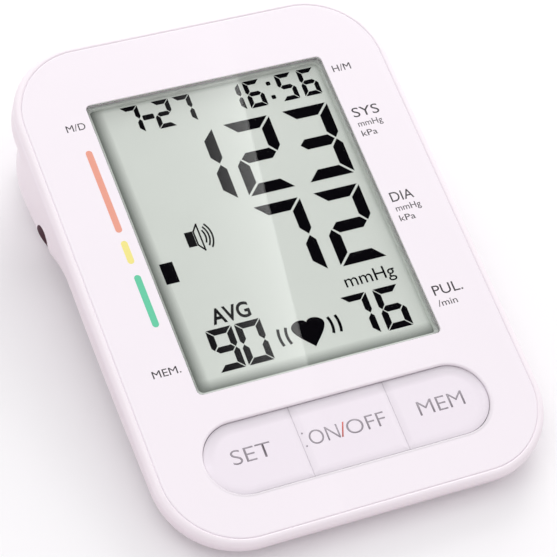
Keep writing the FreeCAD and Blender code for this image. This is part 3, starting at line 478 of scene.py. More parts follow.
# Shades on the keys and the lip of their slot: how far each reaches, and the share of colour it takes
SPLIT_SHADE = (1.9 * MM, 0.07)
UPPER_SHADE = (3.3 * MM, 0.35)
LOWER_SHADE = (1.3 * MM, 0.12)
RIGHT_SHADE = (3.5 * MM, 0.08)
LIP_SHADE = (1.0 * MM, 0.42)

# The walls of the window shade the display: how far in, and how far the light has moved the shade
WINDOW_SHADE = 3.4 * MM
WINDOW_SHADE_MOVE = (1.5 * MM, 1.2 * MM)


def placed(tree, group, **values):
    node = add_node(tree, "Group")
    node.node_tree = group
    return fill(tree, node, Vector=point(tree), **values)


def moulded(name, tint, roughness, tone=0.03, tone_scale=40.0, drift=0.06, grain=2500.0, depth=3e-6,
            **sockets):
    """A surface with drifting tone and gloss and a fine grain; sockets sets the shader's own inputs."""
    material = bpy.data.materials.new(name)
    material.use_nodes = True
    tree = material.node_tree
    drifting = placed(tree, TONE_DRIFT, Color=tint, Scale=tone_scale, Amount=tone)
    gloss = placed(tree, GLOSS_DRIFT, Roughness=roughness, Scale=tone_scale * GLOSS_FINER, Amount=drift)
    rough = placed(tree, FINE_GRAIN, Scale=grain, Depth=depth)
    fill(tree, tree.nodes["Principled BSDF"], Base_Color=drifting.outputs["Color"],
         Roughness=gloss.outputs["Roughness"], Normal=rough.outputs["Normal"], **sockets)
    return material


def drifting_colour(tree):
    """The colour that a moulded material starts with."""
    return next(node.outputs["Color"] for node in tree.nodes
                if node.type == "GROUP" and node.node_tree == TONE_DRIFT)


def recolour(tree, share, first, second):
    """Gives a moulded material a colour between two, by a share that runs over the surface."""
    fill(tree, tree.nodes["Principled BSDF"], Base_Color=mixed(tree, share, first, second))


def make_case(name, finish):
    """Moulded case in the side colour, which is its plastic with painted shade, as it looks below its rim."""
    return moulded(name, finish.side, finish.gloss, depth=4e-6, Coat_Weight=0.12)


def make_front_case(finish):
    """The front case, its painted shade fading out towards the rim."""
    material = make_case("case_front", finish)
    tree = material.node_tree
    _, _, z = deck_coordinates(tree)
    # Painted shade below the rim: the side colour fades to the front colour over the rim's depth
    unshaded_near_rim = ramp(tree, z, -RIM_DEPTH, 0.0)
    recolour(tree, unshaded_near_rim, drifting_colour(tree), finish.front)
    return material


def make_rear_case(finish):
    """The rear case, with painted shade on the bore of the air socket's mouth."""
    material = make_case("case_rear", finish)
    tree = material.node_tree
    x, y, z = deck_coordinates(tree)
    radius = distance(tree, maths(tree, "SUBTRACT", y, SOCKET_Y), maths(tree, "SUBTRACT", z, SOCKET_Z))
    # The bore of the socket's mouth in the rear case takes the painted shade
    mouth = maths(tree, "MULTIPLY", maths(tree, "LESS_THAN", radius, SOCKET_MOUTH),
                  maths(tree, "LESS_THAN", x, SOCKET_END + SOCKET_DEPTH))
    recolour(tree, mouth, drifting_colour(tree), SOCKET_PAINTED_SHADE)
    return material


def slot_shading(tree):
    """How deep a point of the face lies inside the key slot; how far to the right, up and down it lies
    from the slot's middle line, as shares of its whole distance; and its x."""
    x, y, _ = deck_coordinates(tree)
    run = (SLOT_LENGTH - SLOT_WIDTH) / 2
    nearest = maths(tree, "MAXIMUM", maths(tree, "MINIMUM", x, run), -run)
    across = maths(tree, "SUBTRACT", x, nearest)
    up = maths(tree, "SUBTRACT", y, SLOT_Y)
    radius = distance(tree, across, up)
    inside = maths(tree, "SUBTRACT", SLOT_WIDTH / 2, radius)
    ways = [maths(tree, "MAXIMUM", maths(tree, "DIVIDE", value, radius), 0.0)
            for value in (across, up, maths(tree, "MULTIPLY", up, -1.0))]
    return inside, ways, x


def shade(tree, away, way, reach, amount):
    """A share of colour that falls to nothing as a point gets away, strongest in one way."""
    near = maths(tree, "MULTIPLY", ramp(tree, away, 0.0, reach, 1.0, 0.0), way)
    return maths(tree, "MULTIPLY", near, amount)


def darken(tree, shades):
    """Takes the sum of some shades off a moulded material's colour."""
    total = shades[0]
    for one in shades[1:]:
        total = maths(tree, "ADD", total, one)
    recolour(tree, total, drifting_colour(tree), (0.0, 0.0, 0.0))


def make_key_moulding(finish):
    """Key plastic, darkened by painted shade towards the edge of the slot and towards the next key."""
    material = moulded("key_moulding", finish.keys, finish.gloss, tone=0.015, depth=2e-6, Coat_Weight=0.2)
    tree = material.node_tree
    inside, (right, up, down), x = slot_shading(tree)
    from_gap = maths(tree, "ABSOLUTE", maths(tree, "SUBTRACT", maths(tree, "ABSOLUTE", x), KEY_SPLIT))
    # Painted shade: a shadow of the slot's upper wall, darkening along the gaps, and darker lower and right edges
    darken(tree, [shade(tree, from_gap, 1.0, *SPLIT_SHADE), shade(tree, inside, up, *UPPER_SHADE),
                  shade(tree, inside, down, *LOWER_SHADE), shade(tree, inside, right, *RIGHT_SHADE)])
    return material


def make_face_print(finish):
    """Face plastic, with painted shade that dulls the near lip of the key slot."""
    material = moulded("face_print", finish.face, finish.gloss + 0.02, tone=0.012, grain=3200.0,
                       depth=2e-6, Coat_Weight=0.2)
    tree = material.node_tree
    inside, (_, _, down), _ = slot_shading(tree)
    darken(tree, [shade(tree, maths(tree, "ABSOLUTE", inside), down, *LIP_SHADE)])
    return material


def make_display_glass(display):
    """Grey-green display glass, darker in the shade of the window's walls."""
    material = moulded("display_glass", display.glass, 0.42, tone=0.05, tone_scale=90.0,
                       grain=5200.0, depth=2.2e-6, Specular_IOR_Level=0.1)
    tree = material.node_tree
    x, y, _ = deck_coordinates(tree)
    move_x, move_y = WINDOW_SHADE_MOVE
    shares = []
    for value, centre, half in ((x, move_x, WINDOW_WIDTH / 2), (y, WINDOW_Y + move_y, WINDOW_LENGTH / 2)):
        away = maths(tree, "ABSOLUTE", maths(tree, "SUBTRACT", value, centre))
        shares.append(ramp(tree, maths(tree, "SUBTRACT", half, away), 0.0, WINDOW_SHADE))
    recolour(tree, maths(tree, "MULTIPLY", *shares), display.edge, drifting_colour(tree))
    return material


def make_clear_lens():
    """Clear plate that lets shadow rays through, so that the display under it is lit."""
    material = moulded("clear_lens", (0.985, 0.995, 0.985), 0.0, tone=0.004, drift=0.004, grain=300.0,
                       depth=2e-7, Transmission_Weight=1.0, IOR=1.49)
    tree = material.node_tree
    clear = add_node(tree, "BsdfTransparent", Color=(0.96, 0.975, 0.96))
    ray = add_node(tree, "LightPath")
    soft = maths(tree, "MAXIMUM", ray.outputs["Is Shadow Ray"], ray.outputs["Is Diffuse Ray"])
    mix_shaders(tree, soft, tree.nodes["Principled BSDF"].outputs["BSDF"], clear.outputs["BSDF"],
                tree.nodes["Material Output"].inputs["Surface"])
    return material


def make_circuit_board():
    """Green solder mask with tracks in a lighter green."""
    material = moulded("circuit_board", (0.020, 0.150, 0.055), 0.35, tone=0.2, tone_scale=220.0)
    tree = material.node_tree
    tracks = add_node(tree, "TexBrick", Vector=point(tree), Scale=150.0, Mortar_Size=0.035)
    recolour(tree, tracks.outputs["Fac"], drifting_colour(tree), (0.045, 0.260, 0.090))
    return material


def make_cell_wrap():
    """Dark wrap with a copper band and bare metal ends, told apart by how far along a cell a point lies."""
    bare = 1.6 * MM
    band = 9.0 * MM
    material = moulded("cell_wrap", (0.060, 0.075, 0.095), 0.32, tone=0.1, Coat_Weight=0.5)
    tree = material.node_tree
    low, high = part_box("battery_cells")
    x, _, _ = split(tree, point(tree))
    away = maths(tree, "ABSOLUTE", maths(tree, "SUBTRACT", x, (low.x + high.x) / 2))
    in_end, in_band = (maths(tree, "GREATER_THAN", away, (high.x - low.x) / 2 - reach)
                       for reach in (bare, band))
    wrap = mixed(tree, in_band, drifting_colour(tree), (0.520, 0.300, 0.085))
    recolour(tree, in_end, wrap, (0.62, 0.62, 0.60))
    fill(tree, tree.nodes["Principled BSDF"], Metallic=in_end)
    return material


def make_floor(stage):
    return moulded("floor_paper", stage.floor, 0.7, tone=0.006, tone_scale=3.0, drift=0.02,
                   grain=900.0, depth=1e-5, Specular_IOR_Level=0.1)


def dress(nodes, material):
    """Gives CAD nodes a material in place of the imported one."""
    for node in nodes:
        slots = frame["nodes"][node].data.materials
        slots.clear()
        slots.append(material)


# ---- operators ----


class MonitorCamera(bpy.types.Operator):
    """Place the camera in front of the monitor, low on its left"""

    bl_idname = "monitor.camera"
    bl_label = "Camera"

    # In metres and degrees
    place = (-0.20456, -0.32750, 0.48093)
    turn = (38.7048, -7.6764, -22.9213)

    def execute(self, context):
        data = bpy.data.cameras.new("camera")
        data.lens = context.scene.monitor_stage.lens
        data.sensor_width = 36.0
        data.clip_start = 0.01
        data.clip_end = 20.0
        camera = add_object("camera", data)
        camera.location = self.place
        camera.rotation_euler = [math.radians(angle) for angle in self.turn]
        context.scene.camera = camera
        return {"FINISHED"}


class MonitorStageSet(bpy.types.Operator):
    """Lay the floor and set the soft studio light"""

    bl_idname = "monitor.stage_set"
    bl_label = "Floor and light"
    floor_size = 4.0

    # Each light: its name, place, aim, width and the property that holds its power
    lights = (("behind_right", (0.42, 0.66, 0.40), (0, 0, 0.02), 0.45, "back_power"),
              ("overhead", (-0.40, 0.30, 1.25), (0, 0, 0), 0.8, "top_power"))

    # The card stands over the face, in the deck frame; its lit part ends at a straight edge
    # that leans by an angle in degrees, and fades to the left of it
    card_place = (176.0 * MM, 210.0 * MM, 430.0 * MM)
    card_size = (320.0 * MM, 360.0 * MM)
    card_lean = 8.6
    card_fade = 66.0 * MM
    card_fall = 3.0

    # The sky grows lighter between two heights, the sooner the more a ray points to the rear
    sky_low = -0.05
    sky_high = 0.6
    sky_rear = 0.25
    sky_tint = (1.0, 0.985, 1.0)
    backdrop = 0.95

    def add_floor(self, stage):
        bm = bmesh.new()
        bmesh.ops.create_grid(bm, x_segments=1, y_segments=1, size=self.floor_size,
                              matrix=Matrix.Translation((0, 0, CAD_BOX[0].z)))
        floor = add_mesh("floor", bm, make_floor(stage))

    def add_light(self, name, place, aim, width, power):
        data = bpy.data.lights.new(name, "AREA")
        data.size = width
        data.energy = power
        light = add_object(name, data)
        light.location = place
        light.rotation_euler = (Vector(aim) - Vector(place)).to_track_quat("-Z", "Y").to_euler()

    def lit_card(self, strength):
        """Black, and lit to the left of one straight edge."""
        material = bpy.data.materials.new("lit_card")
        material.use_nodes = True
        tree = material.node_tree
        x, y, _ = deck_coordinates(tree)
        lean = math.tan(math.radians(self.card_lean))
        edge = maths(tree, "MULTIPLY_ADD", y, lean, self.card_place[0] - lean * self.card_place[1])
        back = maths(tree, "DIVIDE", maths(tree, "SUBTRACT", edge, x), self.card_fade)
        left = maths(tree, "MAXIMUM", maths(tree, "SUBTRACT", 1.0, back), 0.0)
        glow = maths(tree, "MULTIPLY", maths(tree, "POWER", left, self.card_fall),
                     maths(tree, "GREATER_THAN", back, 0.0))
        light = add_node(tree, "Emission", Strength=maths(tree, "MULTIPLY", glow, strength))
        fill(tree, tree.nodes["Material Output"], Surface=light.outputs["Emission"])
        return material

    def add_card(self, stage):
        """A card that only the window mirrors."""
        bm = bmesh.new()
        bmesh.ops.create_grid(bm, x_segments=1, y_segments=1, size=0.5)
        bmesh.ops.scale(bm, verts=bm.verts, vec=(*self.card_size, 1))
        bmesh.ops.transform(bm, matrix=DECK @ Matrix.Translation(self.card_place), verts=bm.verts)
        card = add_mesh("mirror_card", bm, self.lit_card(stage.card_strength))
        card.visible_camera = False
        card.visible_diffuse = False
        card.visible_shadow = False

    def add_sky(self, stage):
        """Soft light that grows from the horizon up; the camera sees a plain backdrop in its place."""
        world = bpy.data.worlds.new("studio")
        bpy.context.scene.world = world
        world.use_nodes = True
        tree = world.node_tree
        _, y, z = split(tree, point(tree, "Generated"))
        height = maths(tree, "MULTIPLY_ADD", y, self.sky_rear, z)
        tint = mixed(tree, ramp(tree, height, self.sky_low, self.sky_high), stage.horizon, self.sky_tint)
        sky = fill(tree, tree.nodes["Background"], Color=tint, Strength=stage.sky)
        seen = add_node(tree, "Background", Strength=self.backdrop)
        ray = add_node(tree, "LightPath")
        mix_shaders(tree, ray.outputs["Is Camera Ray"], sky.outputs["Background"],
                    seen.outputs["Background"], tree.nodes["World Output"].inputs["Surface"])

    def execute(self, context):
        stage = context.scene.monitor_stage
        self.add_floor(stage)
        for name, place, aim, width, power in self.lights:
            self.add_light(name, place, aim, width, getattr(stage, power))
        self.add_card(stage)
        self.add_sky(stage)
        context.scene.view_settings.view_transform = "Standard"
        return {"FINISHED"}


class MonitorOuterFinish(bpy.types.Operator):
    """Finish the case, face, keys, lens, feet and screws"""

    bl_idname = "monitor.outer_finish"
    bl_label = "Outer finishes"

    # The bead in the seam: its foot, its height and the gap that it leaves on each side
    seal_low = -1.0 * MM
    seal_height = 0.68 * MM
    seal_gap = 0.04 * SEAM_WIDTH
    seal_segments = 256

    # The lip: its rings, its front and back from the socket's end, and how far under the skin
    # its front and the end of the socket's body are drawn in
    lip_radii = tuple(radius * MM for radius in (4.352, 4.7, 5.0, 5.3, 5.6, 5.85, 6.05))
    lip_front = -0.1 * MM
    lip_back = 4.0 * MM
    lip_under = 0.02 * MM
    body_under = 0.25 * MM

    def seal(self):
        """A bead of resin that fills the seam round the face to just below it."""
        bm = bmesh.new()
        half_step = Matrix.Rotation(math.pi / self.seal_segments, 4, "Z")
        for grow in (self.seal_gap, SEAM_WIDTH - self.seal_gap):
            ring = bmesh.ops.create_circle(bm, radius=PANEL_CORNER + grow, segments=self.seal_segments,
                                           matrix=half_step)["verts"]
            for vert in ring:
                vert.co.x += math.copysign(PANEL_WIDTH / 2 - PANEL_CORNER, vert.co.x)
                vert.co.y += math.copysign(PANEL_LENGTH / 2 - PANEL_CORNER, vert.co.y)
        bmesh.ops.bridge_loops(bm, edges=bm.edges[:])
        bmesh.ops.translate(bm, verts=bm.verts, vec=(0, 0, self.seal_low))
        raise_faces(bm, bm.faces[:], self.seal_height)
        return bm

    def skin(self):
        """The skin of the rear case, as a tree that rays can meet."""
        bm = shape_of_node("rear_case")
        tree = BVHTree.FromBMesh(bm)
        bm.free()
        return tree

    def draw_in(self, skin, verts, under):
        """Draws points of the socket's end in to just under the skin, which is read off the right side,
        because no socket cuts it there."""
        for vert in verts:
            outside = DECK @ Vector((2 * CAD_BOX[1].x, vert.co.y, vert.co.z))
            met, _, _, _ = skin.ray_cast(outside, Vector((-1, 0, 0)))
            vert.co.x = max(vert.co.x, under - met.x)

    def socket_lip(self, skin):
        """A lip round the mouth of the air socket, which closes the case where it rounds in below it."""
        bm = bmesh.new()
        profile = [(self.lip_front, radius) for radius in self.lip_radii]
        profile += [(self.lip_back, self.lip_radii[-1]), (self.lip_back, self.lip_radii[0])]
        ring = [bm.verts.new((SOCKET_END + x, SOCKET_Y, SOCKET_Z + radius)) for x, radius in profile]
        edges = [bm.edges.new(pair) for pair in zip(ring, ring[1:] + ring[:1])]
        bmesh.ops.spin(bm, geom=[*ring, *edges], cent=(0, SOCKET_Y, SOCKET_Z), axis=(1, 0, 0),
                       angle=2 * math.pi, steps=96, use_merge=True)
        front = {vert for vert in bm.verts if vert.co.x < SOCKET_END}
        for face in bm.faces:
            face.smooth = front.issuperset(face.verts)
        self.draw_in(skin, front, self.lip_under)
        return bm

    def socket_body(self, skin):
        """The socket's body, its end drawn in to lie behind the lip."""
        bm = shape_of_node("cuff_socket")
        bmesh.ops.remove_doubles(bm, verts=bm.verts, dist=1e-6)
        bmesh.ops.transform(bm, matrix=DECK.inverted(), verts=bm.verts)
        end = [vert for vert in bm.verts if vert.co.x < SOCKET_END + SINK]
        self.draw_in(skin, end, self.body_under)
        return bm

    def execute(self, context):
        finish = context.scene.monitor_case
        rear = make_rear_case(finish)
        # The socket's body takes the painted shade of the recess as its colour
        socket = moulded("socket_moulding", SOCKET_PAINTED_SHADE, 0.6, tone=0.2, Specular_IOR_Level=0.2)
        add_piece("face_seal", self.seal(), CASE, moulded("seal_resin", finish.face, 0.5, tone=0.02))
        skin = self.skin()
        add_piece("socket_lip", self.socket_lip(skin), CASE, rear)
        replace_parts(add_piece("socket_body", self.socket_body(skin), CASE, socket), "cuff_socket")
        dress(["front_case"], make_front_case(finish))
        dress(["face_panel"], make_face_print(finish))
        # The rear case and the door take the side colour, which is painted shade
        dress(["rear_case", "battery_door"], rear)
        dress(["set_key", "power_key", "memory_key"], make_key_moulding(finish))
        dress(["rubber_feet"], moulded("foot_rubber", (0.10, 0.095, 0.10), 0.75, tone=0.2, grain=1600.0,
                                       depth=1.2e-5))
        dress(["case_screws", "board_screws"],
              moulded("zinc_steel", (0.62, 0.63, 0.65), 0.28, tone=0.1, Metallic=1.0))
        dress(["lcd_gasket"], moulded("window_foam", (0.70, 0.735, 0.70), 0.8, tone=0.2, grain=1500.0,
                                      depth=2e-5))
        dress(["display_lens"], make_clear_lens())
        dress(["lcd_glass"], make_display_glass(context.scene.monitor_display))
        return {"FINISHED"}


class MonitorInnerFinish(bpy.types.Operator):
    """Finish the boards, the batteries, the pump and the other inner pieces"""

    bl_idname = "monitor.inner_finish"
    bl_label = "Inner finishes"

    def execute(self, context):
        dress(["main_board", "key_board"], make_circuit_board())
        dress(["board_chips", "switch_bodies", "loudspeaker", "pressure_sensor"],
              moulded("black_moulding", (0.018, 0.018, 0.020), 0.45, tone=0.2))
        dress(["set_plunger", "power_plunger", "memory_plunger", "lcd_holder", "air_manifold"],
              moulded("inner_moulding", (0.74, 0.74, 0.70), 0.5, tone=0.05))
        dress(["lcd_reflector"], moulded("reflector_film", (0.70, 0.73, 0.68), 0.3, Metallic=0.6))
        dress(["contact_strip"], moulded("striped_rubber", (0.05, 0.05, 0.055), 0.7, tone=0.5,
                                         tone_scale=900.0))
        dress(["key_ribbon"], moulded("ribbon_film", (0.76, 0.74, 0.68), 0.35, tone=0.06))
        dress(["contact_plates", "contact_springs"],
              moulded("nickel", (0.66, 0.63, 0.58), 0.22, tone=0.08, Metallic=1.0))
        dress(["power_inlet"], moulded("inlet_steel", (0.58, 0.58, 0.58), 0.3, Metallic=1.0))
        dress(["pump_motor"], moulded("motor_can", (0.52, 0.53, 0.55), 0.36, tone=0.12, Metallic=1.0))
        dress(["pump_head", "release_valve"], moulded("pump_moulding", (0.05, 0.05, 0.055), 0.5, tone=0.2))
        dress(["pump_cradle"], moulded("cradle_rubber", (0.12, 0.12, 0.13), 0.8, tone=0.2, depth=1e-5))
        dress(["air_tubes"], moulded("soft_tube", (0.72, 0.74, 0.72), 0.4, tone=0.05,
                                     Transmission_Weight=0.3))
        dress(["battery_cells"], make_cell_wrap())
        return {"FINISHED"}


# Segments that are dark in each figure, how far a figure leans, and where an upright segment is cut
# at the figure's waist and a level one at its tip, as shares of the bar
SEGMENTS = {"0": "abcdef", "1": "bc", "2": "abged", "3": "abgcd", "5": "afgcd", "6": "afgcde",
            "7": "abc", "9": "abcdfg"}
LEAN = 0.02
WAIST_OUTER, WAIST_TIP, WAIST_INNER = 0.5, 0.4, 0.7
LEVEL_TIP = 0.55


def segment_outline(letter, width, height, bar, gap):
    """Corners of one of the seven segments of a figure, from its lower left."""
    middle = height / 2
    if letter == "g":
        inner = bar + gap / 3
        tip = LEVEL_TIP * bar
        return [(tip, middle), (inner, middle + bar / 2), (width - inner, middle + bar / 2),
                (width - tip, middle), (width - inner, middle - bar / 2), (inner, middle - bar / 2)]
    if letter in "ad":
        outline = [(gap, height), (width - gap, height), (width - gap - bar, height - bar),
                   (gap + bar, height - bar)]
    else:
        waist = middle + gap / 2
        outline = [(width, height - gap), (width, waist + WAIST_OUTER * bar),
                   (width - WAIST_TIP * bar, waist), (width - bar, waist + WAIST_INNER * bar),
                   (width - bar, height - bar - gap)]
    if letter in "dce":
        outline = [(x, height - y) for x, y in outline]
    if letter in "ef":
        outline = [(width - x, y) for x, y in outline]
    return outline


class MonitorFigures(bpy.types.Operator):
    """Set the figures of the display from seven segments each"""

    bl_idname = "monitor.figures"
    bl_label = "Display figures"

    # Width, bar and gap of each kind of figure, as shares of its height
    large_shape = (0.600, 0.141, 0.020)
    medium_shape = (0.590, 0.145, 0.016)
    small_shape = (0.585, 0.152, 0.018)

    def add_figure(self, bm, figure, right, baseline, height, shape):
        width, bar, gap = (height * share for share in shape)
        for letter in SEGMENTS[figure]:
            outline = segment_outline(letter, width, height, bar, gap)
            leaning = [(right - width + x + LEAN * (y - height), baseline + y) for x, y in outline]
            add_plate(bm, leaning, FIGURE_LOW, FIGURE_THICK)

    def execute(self, context):
        display = context.scene.monitor_display
        ink = moulded("segment_ink", display.ink, 0.6, tone=0.3, Specular_IOR_Level=0.0)
        rows = [
            ("display_systolic", "123", (-2.5, 13.75, 30.5), 18.7, display.large, self.large_shape),
            ("display_diastolic", "72", (12.7, 29.5), -6.6, display.large, self.large_shape),
            ("display_pulse", "76", (19.1, 28.1), -26.9, display.medium, self.medium_shape),
            ("display_average", "90", (-17.8, -10.1), -26.45, display.average, self.medium_shape),
            ("display_date", "727", (-19.2, -10.6, -4.7), 43.6, display.small, self.small_shape),
            ("display_time", "1656", (9.2, 15.2, 24.4, 30.8), 43.6, display.small, self.small_shape),
        ]
        for name, figures, rights, baseline, height, shape in rows:
            bm = bmesh.new()
            for figure, right in zip(figures, rights):
                self.add_figure(bm, figure, right * MM, baseline * MM, height, shape)
            add_piece(name, bm, CASE, ink)
        return {"FINISHED"}


class MonitorSigns(bpy.types.Operator):
    """Set the heart, the loudspeaker, the marks and the words of the display"""

    bl_idname = "monitor.signs"
    bl_label = "Display signs"
    block_corner = 0.3 * MM

    # The heart's curve, one unit wide and high: each point with the handles before and after it
    heart_points = (((0, 0), (-0.10, 0.14), (0.10, 0.14)), ((0.5, 0.68), (0.5, 0.46), (0.5, 0.88)),
                    ((0, 0.80), (0.09, 0.99), (-0.09, 0.99)), ((-0.5, 0.68), (-0.5, 0.88), (-0.5, 0.46)))
    heart_place = (1.1 * MM, -26.0 * MM)
    heart_size = (9.0 * MM, 8.8 * MM)

    # Arcs: their centre, their thickness, and the radius and spread of each
    beat_centre = (1.1 * MM, -21.4 * MM)
    beat_thick = 0.75 * MM
    beats = ((6.2 * MM, 22.0), (8.2 * MM, 17.0))
    sound_centre = (-19.0 * MM, 10.75 * MM)
    sound_thick = 0.45 * MM
    sounds = ((3.9 * MM, 28.0), (4.8 * MM, 35.0), (5.7 * MM, 37.0))

    # The loudspeaker's magnet, the corners of its horn and the half width of the horn's strokes, in mm
    magnet = (-20.3, 8.6, -18.1, 12.9)
    horn = ((-17.8, 8.8), (-16.45, 7.0), (-16.45, 14.6), (-17.8, 12.7))
    horn_stroke = 0.2

    def heart(self):
        """A heart from a closed curve of four points, filled and raised."""
        curve = bpy.data.curves.new("heart", "CURVE")
        curve.dimensions = "2D"
        curve.fill_mode = "BOTH"
        spline = curve.splines.new("BEZIER")
        spline.bezier_points.add(len(self.heart_points) - 1)
        for knot, (at, before, after) in zip(spline.bezier_points, self.heart_points):
            knot.handle_left_type = knot.handle_right_type = "FREE"
            knot.co = (*at, 0)
            knot.handle_left = (*before, 0)
            knot.handle_right = (*after, 0)
        spline.use_cyclic_u = True
        bm = shape_of_curve(curve)
        bmesh.ops.remove_doubles(bm, verts=bm.verts, dist=1e-4)
        bmesh.ops.scale(bm, verts=bm.verts, vec=(*self.heart_size, 1))
        bmesh.ops.translate(bm, verts=bm.verts, vec=(*self.heart_place, FIGURE_LOW))
        raise_faces(bm, bm.faces[:], FIGURE_THICK)
        return bm

    def add_arcs(self, bm, centre, thick, arcs, middle):
        for radius, spread in arcs:
            add_arc(bm, centre, radius, thick, middle, spread, FIGURE_LOW, FIGURE_THICK)

    def beat_marks(self):
        """Two arcs on each side of the heart."""
        bm = bmesh.new()
        for middle in (0.0, 180.0):
            self.add_arcs(bm, self.beat_centre, self.beat_thick, self.beats, middle)
        return bm

    def sound_mark(self):
        """A loudspeaker with three arcs of sound."""
        bm = bmesh.new()
        add_plate(bm, rectangle(*self.magnet), FIGURE_LOW, FIGURE_THICK)
        for (x0, y0), (x1, y1) in zip(self.horn, self.horn[1:] + self.horn[:1]):
            run = Vector((x1 - x0, y1 - y0)).normalized() * self.horn_stroke
            side = Vector((-run.y, run.x))
            start = Vector((x0, y0)) - run
            end = Vector((x1, y1)) + run
            stroke = [(corner.x * MM, corner.y * MM)
                      for corner in (start - side, end - side, end + side, start + side)]
            add_plate(bm, stroke, FIGURE_LOW, FIGURE_THICK)
        self.add_arcs(bm, self.sound_centre, self.sound_thick, self.sounds, 0.0)
        return bm

    def blocks(self, *sides, corner=0.0):
        """Blocks, each from its left, low, right and high side in millimetres."""
        bm = bmesh.new()
        for block in sides:
            add_plate(bm, rectangle(*block), FIGURE_LOW, FIGURE_THICK, corner)
        return bm

    def word(self, text, left, right, baseline, capital, weight=0.0):
        return raised_words(text, left, right, baseline, capital, FIGURE_LOW, FIGURE_THICK, weight)

    def execute(self, context):
        ink = bpy.data.materials["segment_ink"]
        colon = [(16.65, 44.95, 17.85, 46.15), (16.65, 49.25, 17.85, 50.45)]
        dash = (-18.9, 47.0, -15.8, 48.5)
        signs = [
            ("display_heart", self.heart()),
            ("display_beat_marks", self.beat_marks()),
            ("display_level_mark", self.blocks((-29.5, 0.1, -26.0, 6.0))),
            ("display_colon", self.blocks(*colon, corner=self.block_corner)),
            ("display_dash", self.blocks(dash, corner=self.block_corner)),
            ("display_sound_mark", self.sound_mark()),
            ("display_average_word", self.word("AVG", -21.9, -11.6, -13.5, 4.1, weight=0.022)),
            ("display_unit_word", self.word("mmHg", 15.0, 29.0, -12.6, 3.5)),
        ]
        for name, bm in signs:
            add_piece(name, bm, CASE, ink)
        return {"FINISHED"}


class MonitorFacePrint(bpy.types.Operator):
    """Print the plain words and units beside the window"""

    bl_idname = "monitor.face_print"
    bl_label = "Face print"

    def execute(self, context):
        print_set = context.scene.monitor_print
        ink = moulded("print_ink", print_set.ink, 0.5, tone=0.2)
        rows = [
            ("print_date", "M/D", -40.1, -35.0, 46.9, 2.0),
            ("print_time", "H/M", 35.0, 40.2, 47.7, 2.0),
            ("print_systolic", "SYS", 35.1, 42.6, 33.1, 2.8),
            ("print_systolic_unit", "mmHg", 35.3, 42.3, 30.1, 1.75),
            ("print_systolic_second", "kPa", 35.2, 39.6, 27.1, 1.75),
            ("print_diastolic", "DIA", 35.2, 41.6, 6.6, 2.8),
            ("print_diastolic_unit", "mmHg", 35.3, 42.4, 3.7, 1.75),
            ("print_diastolic_second", "kPa", 35.2, 39.6, 0.7, 1.75),
            ("print_pulse", "PUL.", 35.4, 43.6, -21.8, 2.8),
            ("print_pulse_unit", "/min", 35.3, 40.7, -25.0, 1.8),
            ("print_memory", "MEM.", -42.3, -35.0, -24.6, 2.0),
        ]
        for name, words, left, right, baseline, capital in rows:
            bm = raised_words(words, left, right, baseline, capital, -SINK, print_set.rise + SINK)
            add_piece(name, bm, CASE, ink)
        return {"FINISHED"}


class MonitorColourBars(bpy.types.Operator):
    """Print the three bars that grade a reading"""

    bl_idname = "monitor.colour_bars"
    bl_label = "Colour bars"
    across = -36.75 * MM
    half_width = 0.88 * MM

    def bar(self, low_y, high_y, height):
        """A strip with round ends: a disc whose far half is drawn out."""
        bm = bmesh.new()
        centre = low_y + self.half_width
        verts = add_disc(bm, self.across, centre, self.half_width, -SINK, segments=48)
        far = [vert for vert in verts if vert.co.y > centre - 0.01 * self.half_width]
        bmesh.ops.translate(bm, verts=far, vec=(0, high_y - low_y - 2 * self.half_width, 0))
        raise_faces(bm, bm.faces[:], height)
        return bm

    def execute(self, context):
        print_set = context.scene.monitor_print
        rows = [("bar_high", print_set.high, 16.1, 40.6), ("bar_middle", print_set.middle, 6.9, 13.6),
                ("bar_low", print_set.low, -11.4, 3.6)]
        for name, tint, low_y, high_y in rows:
            material = moulded(name, tint, 0.4, tone=0.05, Coat_Weight=0.2)
            add_piece(name, self.bar(low_y * MM, high_y * MM, print_set.rise + SINK), CASE, material)
        return {"FINISHED"}


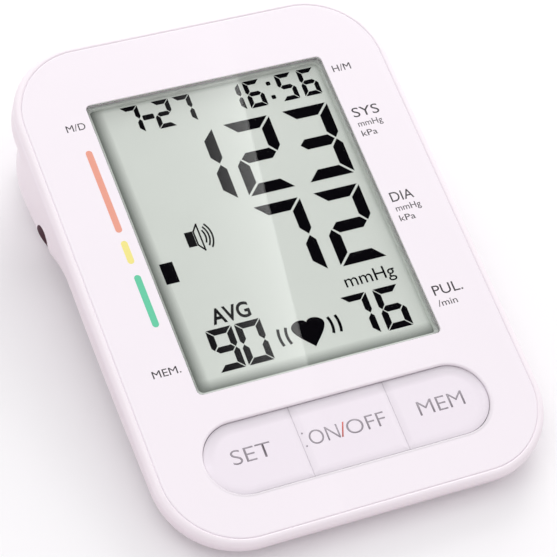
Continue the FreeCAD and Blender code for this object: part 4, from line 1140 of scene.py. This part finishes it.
class MonitorKeyLegends(bpy.types.Operator):
    """Print the legends and the two dots on the three keys"""

    bl_idname = "monitor.key_legends"
    bl_label = "Key legends"
    weight = -0.008
    dots = ((-11.9 * MM, -47.9 * MM), (-11.9 * MM, -51.4 * MM))
    dot_radius = 0.22 * MM
    dot_low = KEY_TOP - 0.35 * MM
    dot_height = 0.29 * MM

    def execute(self, context):
        print_set = context.scene.monitor_print
        grey = moulded("legend_ink", print_set.legend, 0.5, tone=0.15)
        red = moulded("slash_ink", print_set.slash, 0.5, tone=0.15)
        rows = [
            ("legend_set", "SET", -31.1, -20.6, -51.35, 3.85, "set_key", grey),
            ("legend_on", "ON", -10.7, -2.8, -51.6, 3.8, "power_key", grey),
            ("legend_stroke", "/", -2.6, -0.75, -51.6, 3.8, "power_key", red),
            ("legend_off", "OFF", -0.65, 9.8, -51.6, 3.8, "power_key", grey),
            ("legend_memory", "MEM", 18.9, 31.4, -51.8, 3.9, "memory_key", grey),
        ]
        for name, words, left, right, baseline, capital, node, ink in rows:
            bm = raised_words(words, left, right, baseline, capital, KEY_TOP - SINK,
                              print_set.rise + SINK, self.weight)
            add_piece(name, bm, body_of_node(node), ink)
        bm = bmesh.new()
        for x, y in self.dots:
            add_disc(bm, x, y, self.dot_radius, self.dot_low, segments=16)
        raise_faces(bm, bm.faces[:], self.dot_height)
        add_piece("power_key_dots", bm, body_of_node("power_key"), grey)
        return {"FINISHED"}


class MonitorPanel(bpy.types.Panel):
    """Lists the steps that dress the monitor."""

    bl_idname = "MONITOR_PT_steps"
    bl_label = "Blood pressure monitor"
    bl_space_type = "VIEW_3D"
    bl_region_type = "UI"
    bl_category = "Monitor"

    def draw(self, context):
        for label in GROUPS:
            group = getattr(context.scene, label)
            box = self.layout.box()
            for name in group.__annotations__:
                box.prop(group, name)
        for step in STEPS:
            self.layout.operator(step.bl_idname)


STEPS = (MonitorCamera, MonitorOuterFinish, MonitorInnerFinish, MonitorFigures, MonitorSigns,
         MonitorFacePrint, MonitorColourBars, MonitorKeyLegends, MonitorStageSet)
GROUPS = {"monitor_case": MonitorCaseFinish, "monitor_display": MonitorDisplay,
          "monitor_print": MonitorPrint, "monitor_stage": MonitorStage}


def register():
    for group in GROUPS.values():
        bpy.utils.register_class(group)
    for name, group in GROUPS.items():
        setattr(bpy.types.Scene, name, PointerProperty(type=group))
    for step in (*STEPS, MonitorPanel):
        bpy.utils.register_class(step)


def unregister():
    for step in reversed((*STEPS, MonitorPanel)):
        bpy.utils.unregister_class(step)
    for name in GROUPS:
        delattr(bpy.types.Scene, name)
    for group in reversed(list(GROUPS.values())):
        bpy.utils.unregister_class(group)


def main():
    register()
    for step in STEPS:
        family, name = step.bl_idname.split(".")
        getattr(getattr(bpy.ops, family), name)()


if __name__ == "__main__":
    main()
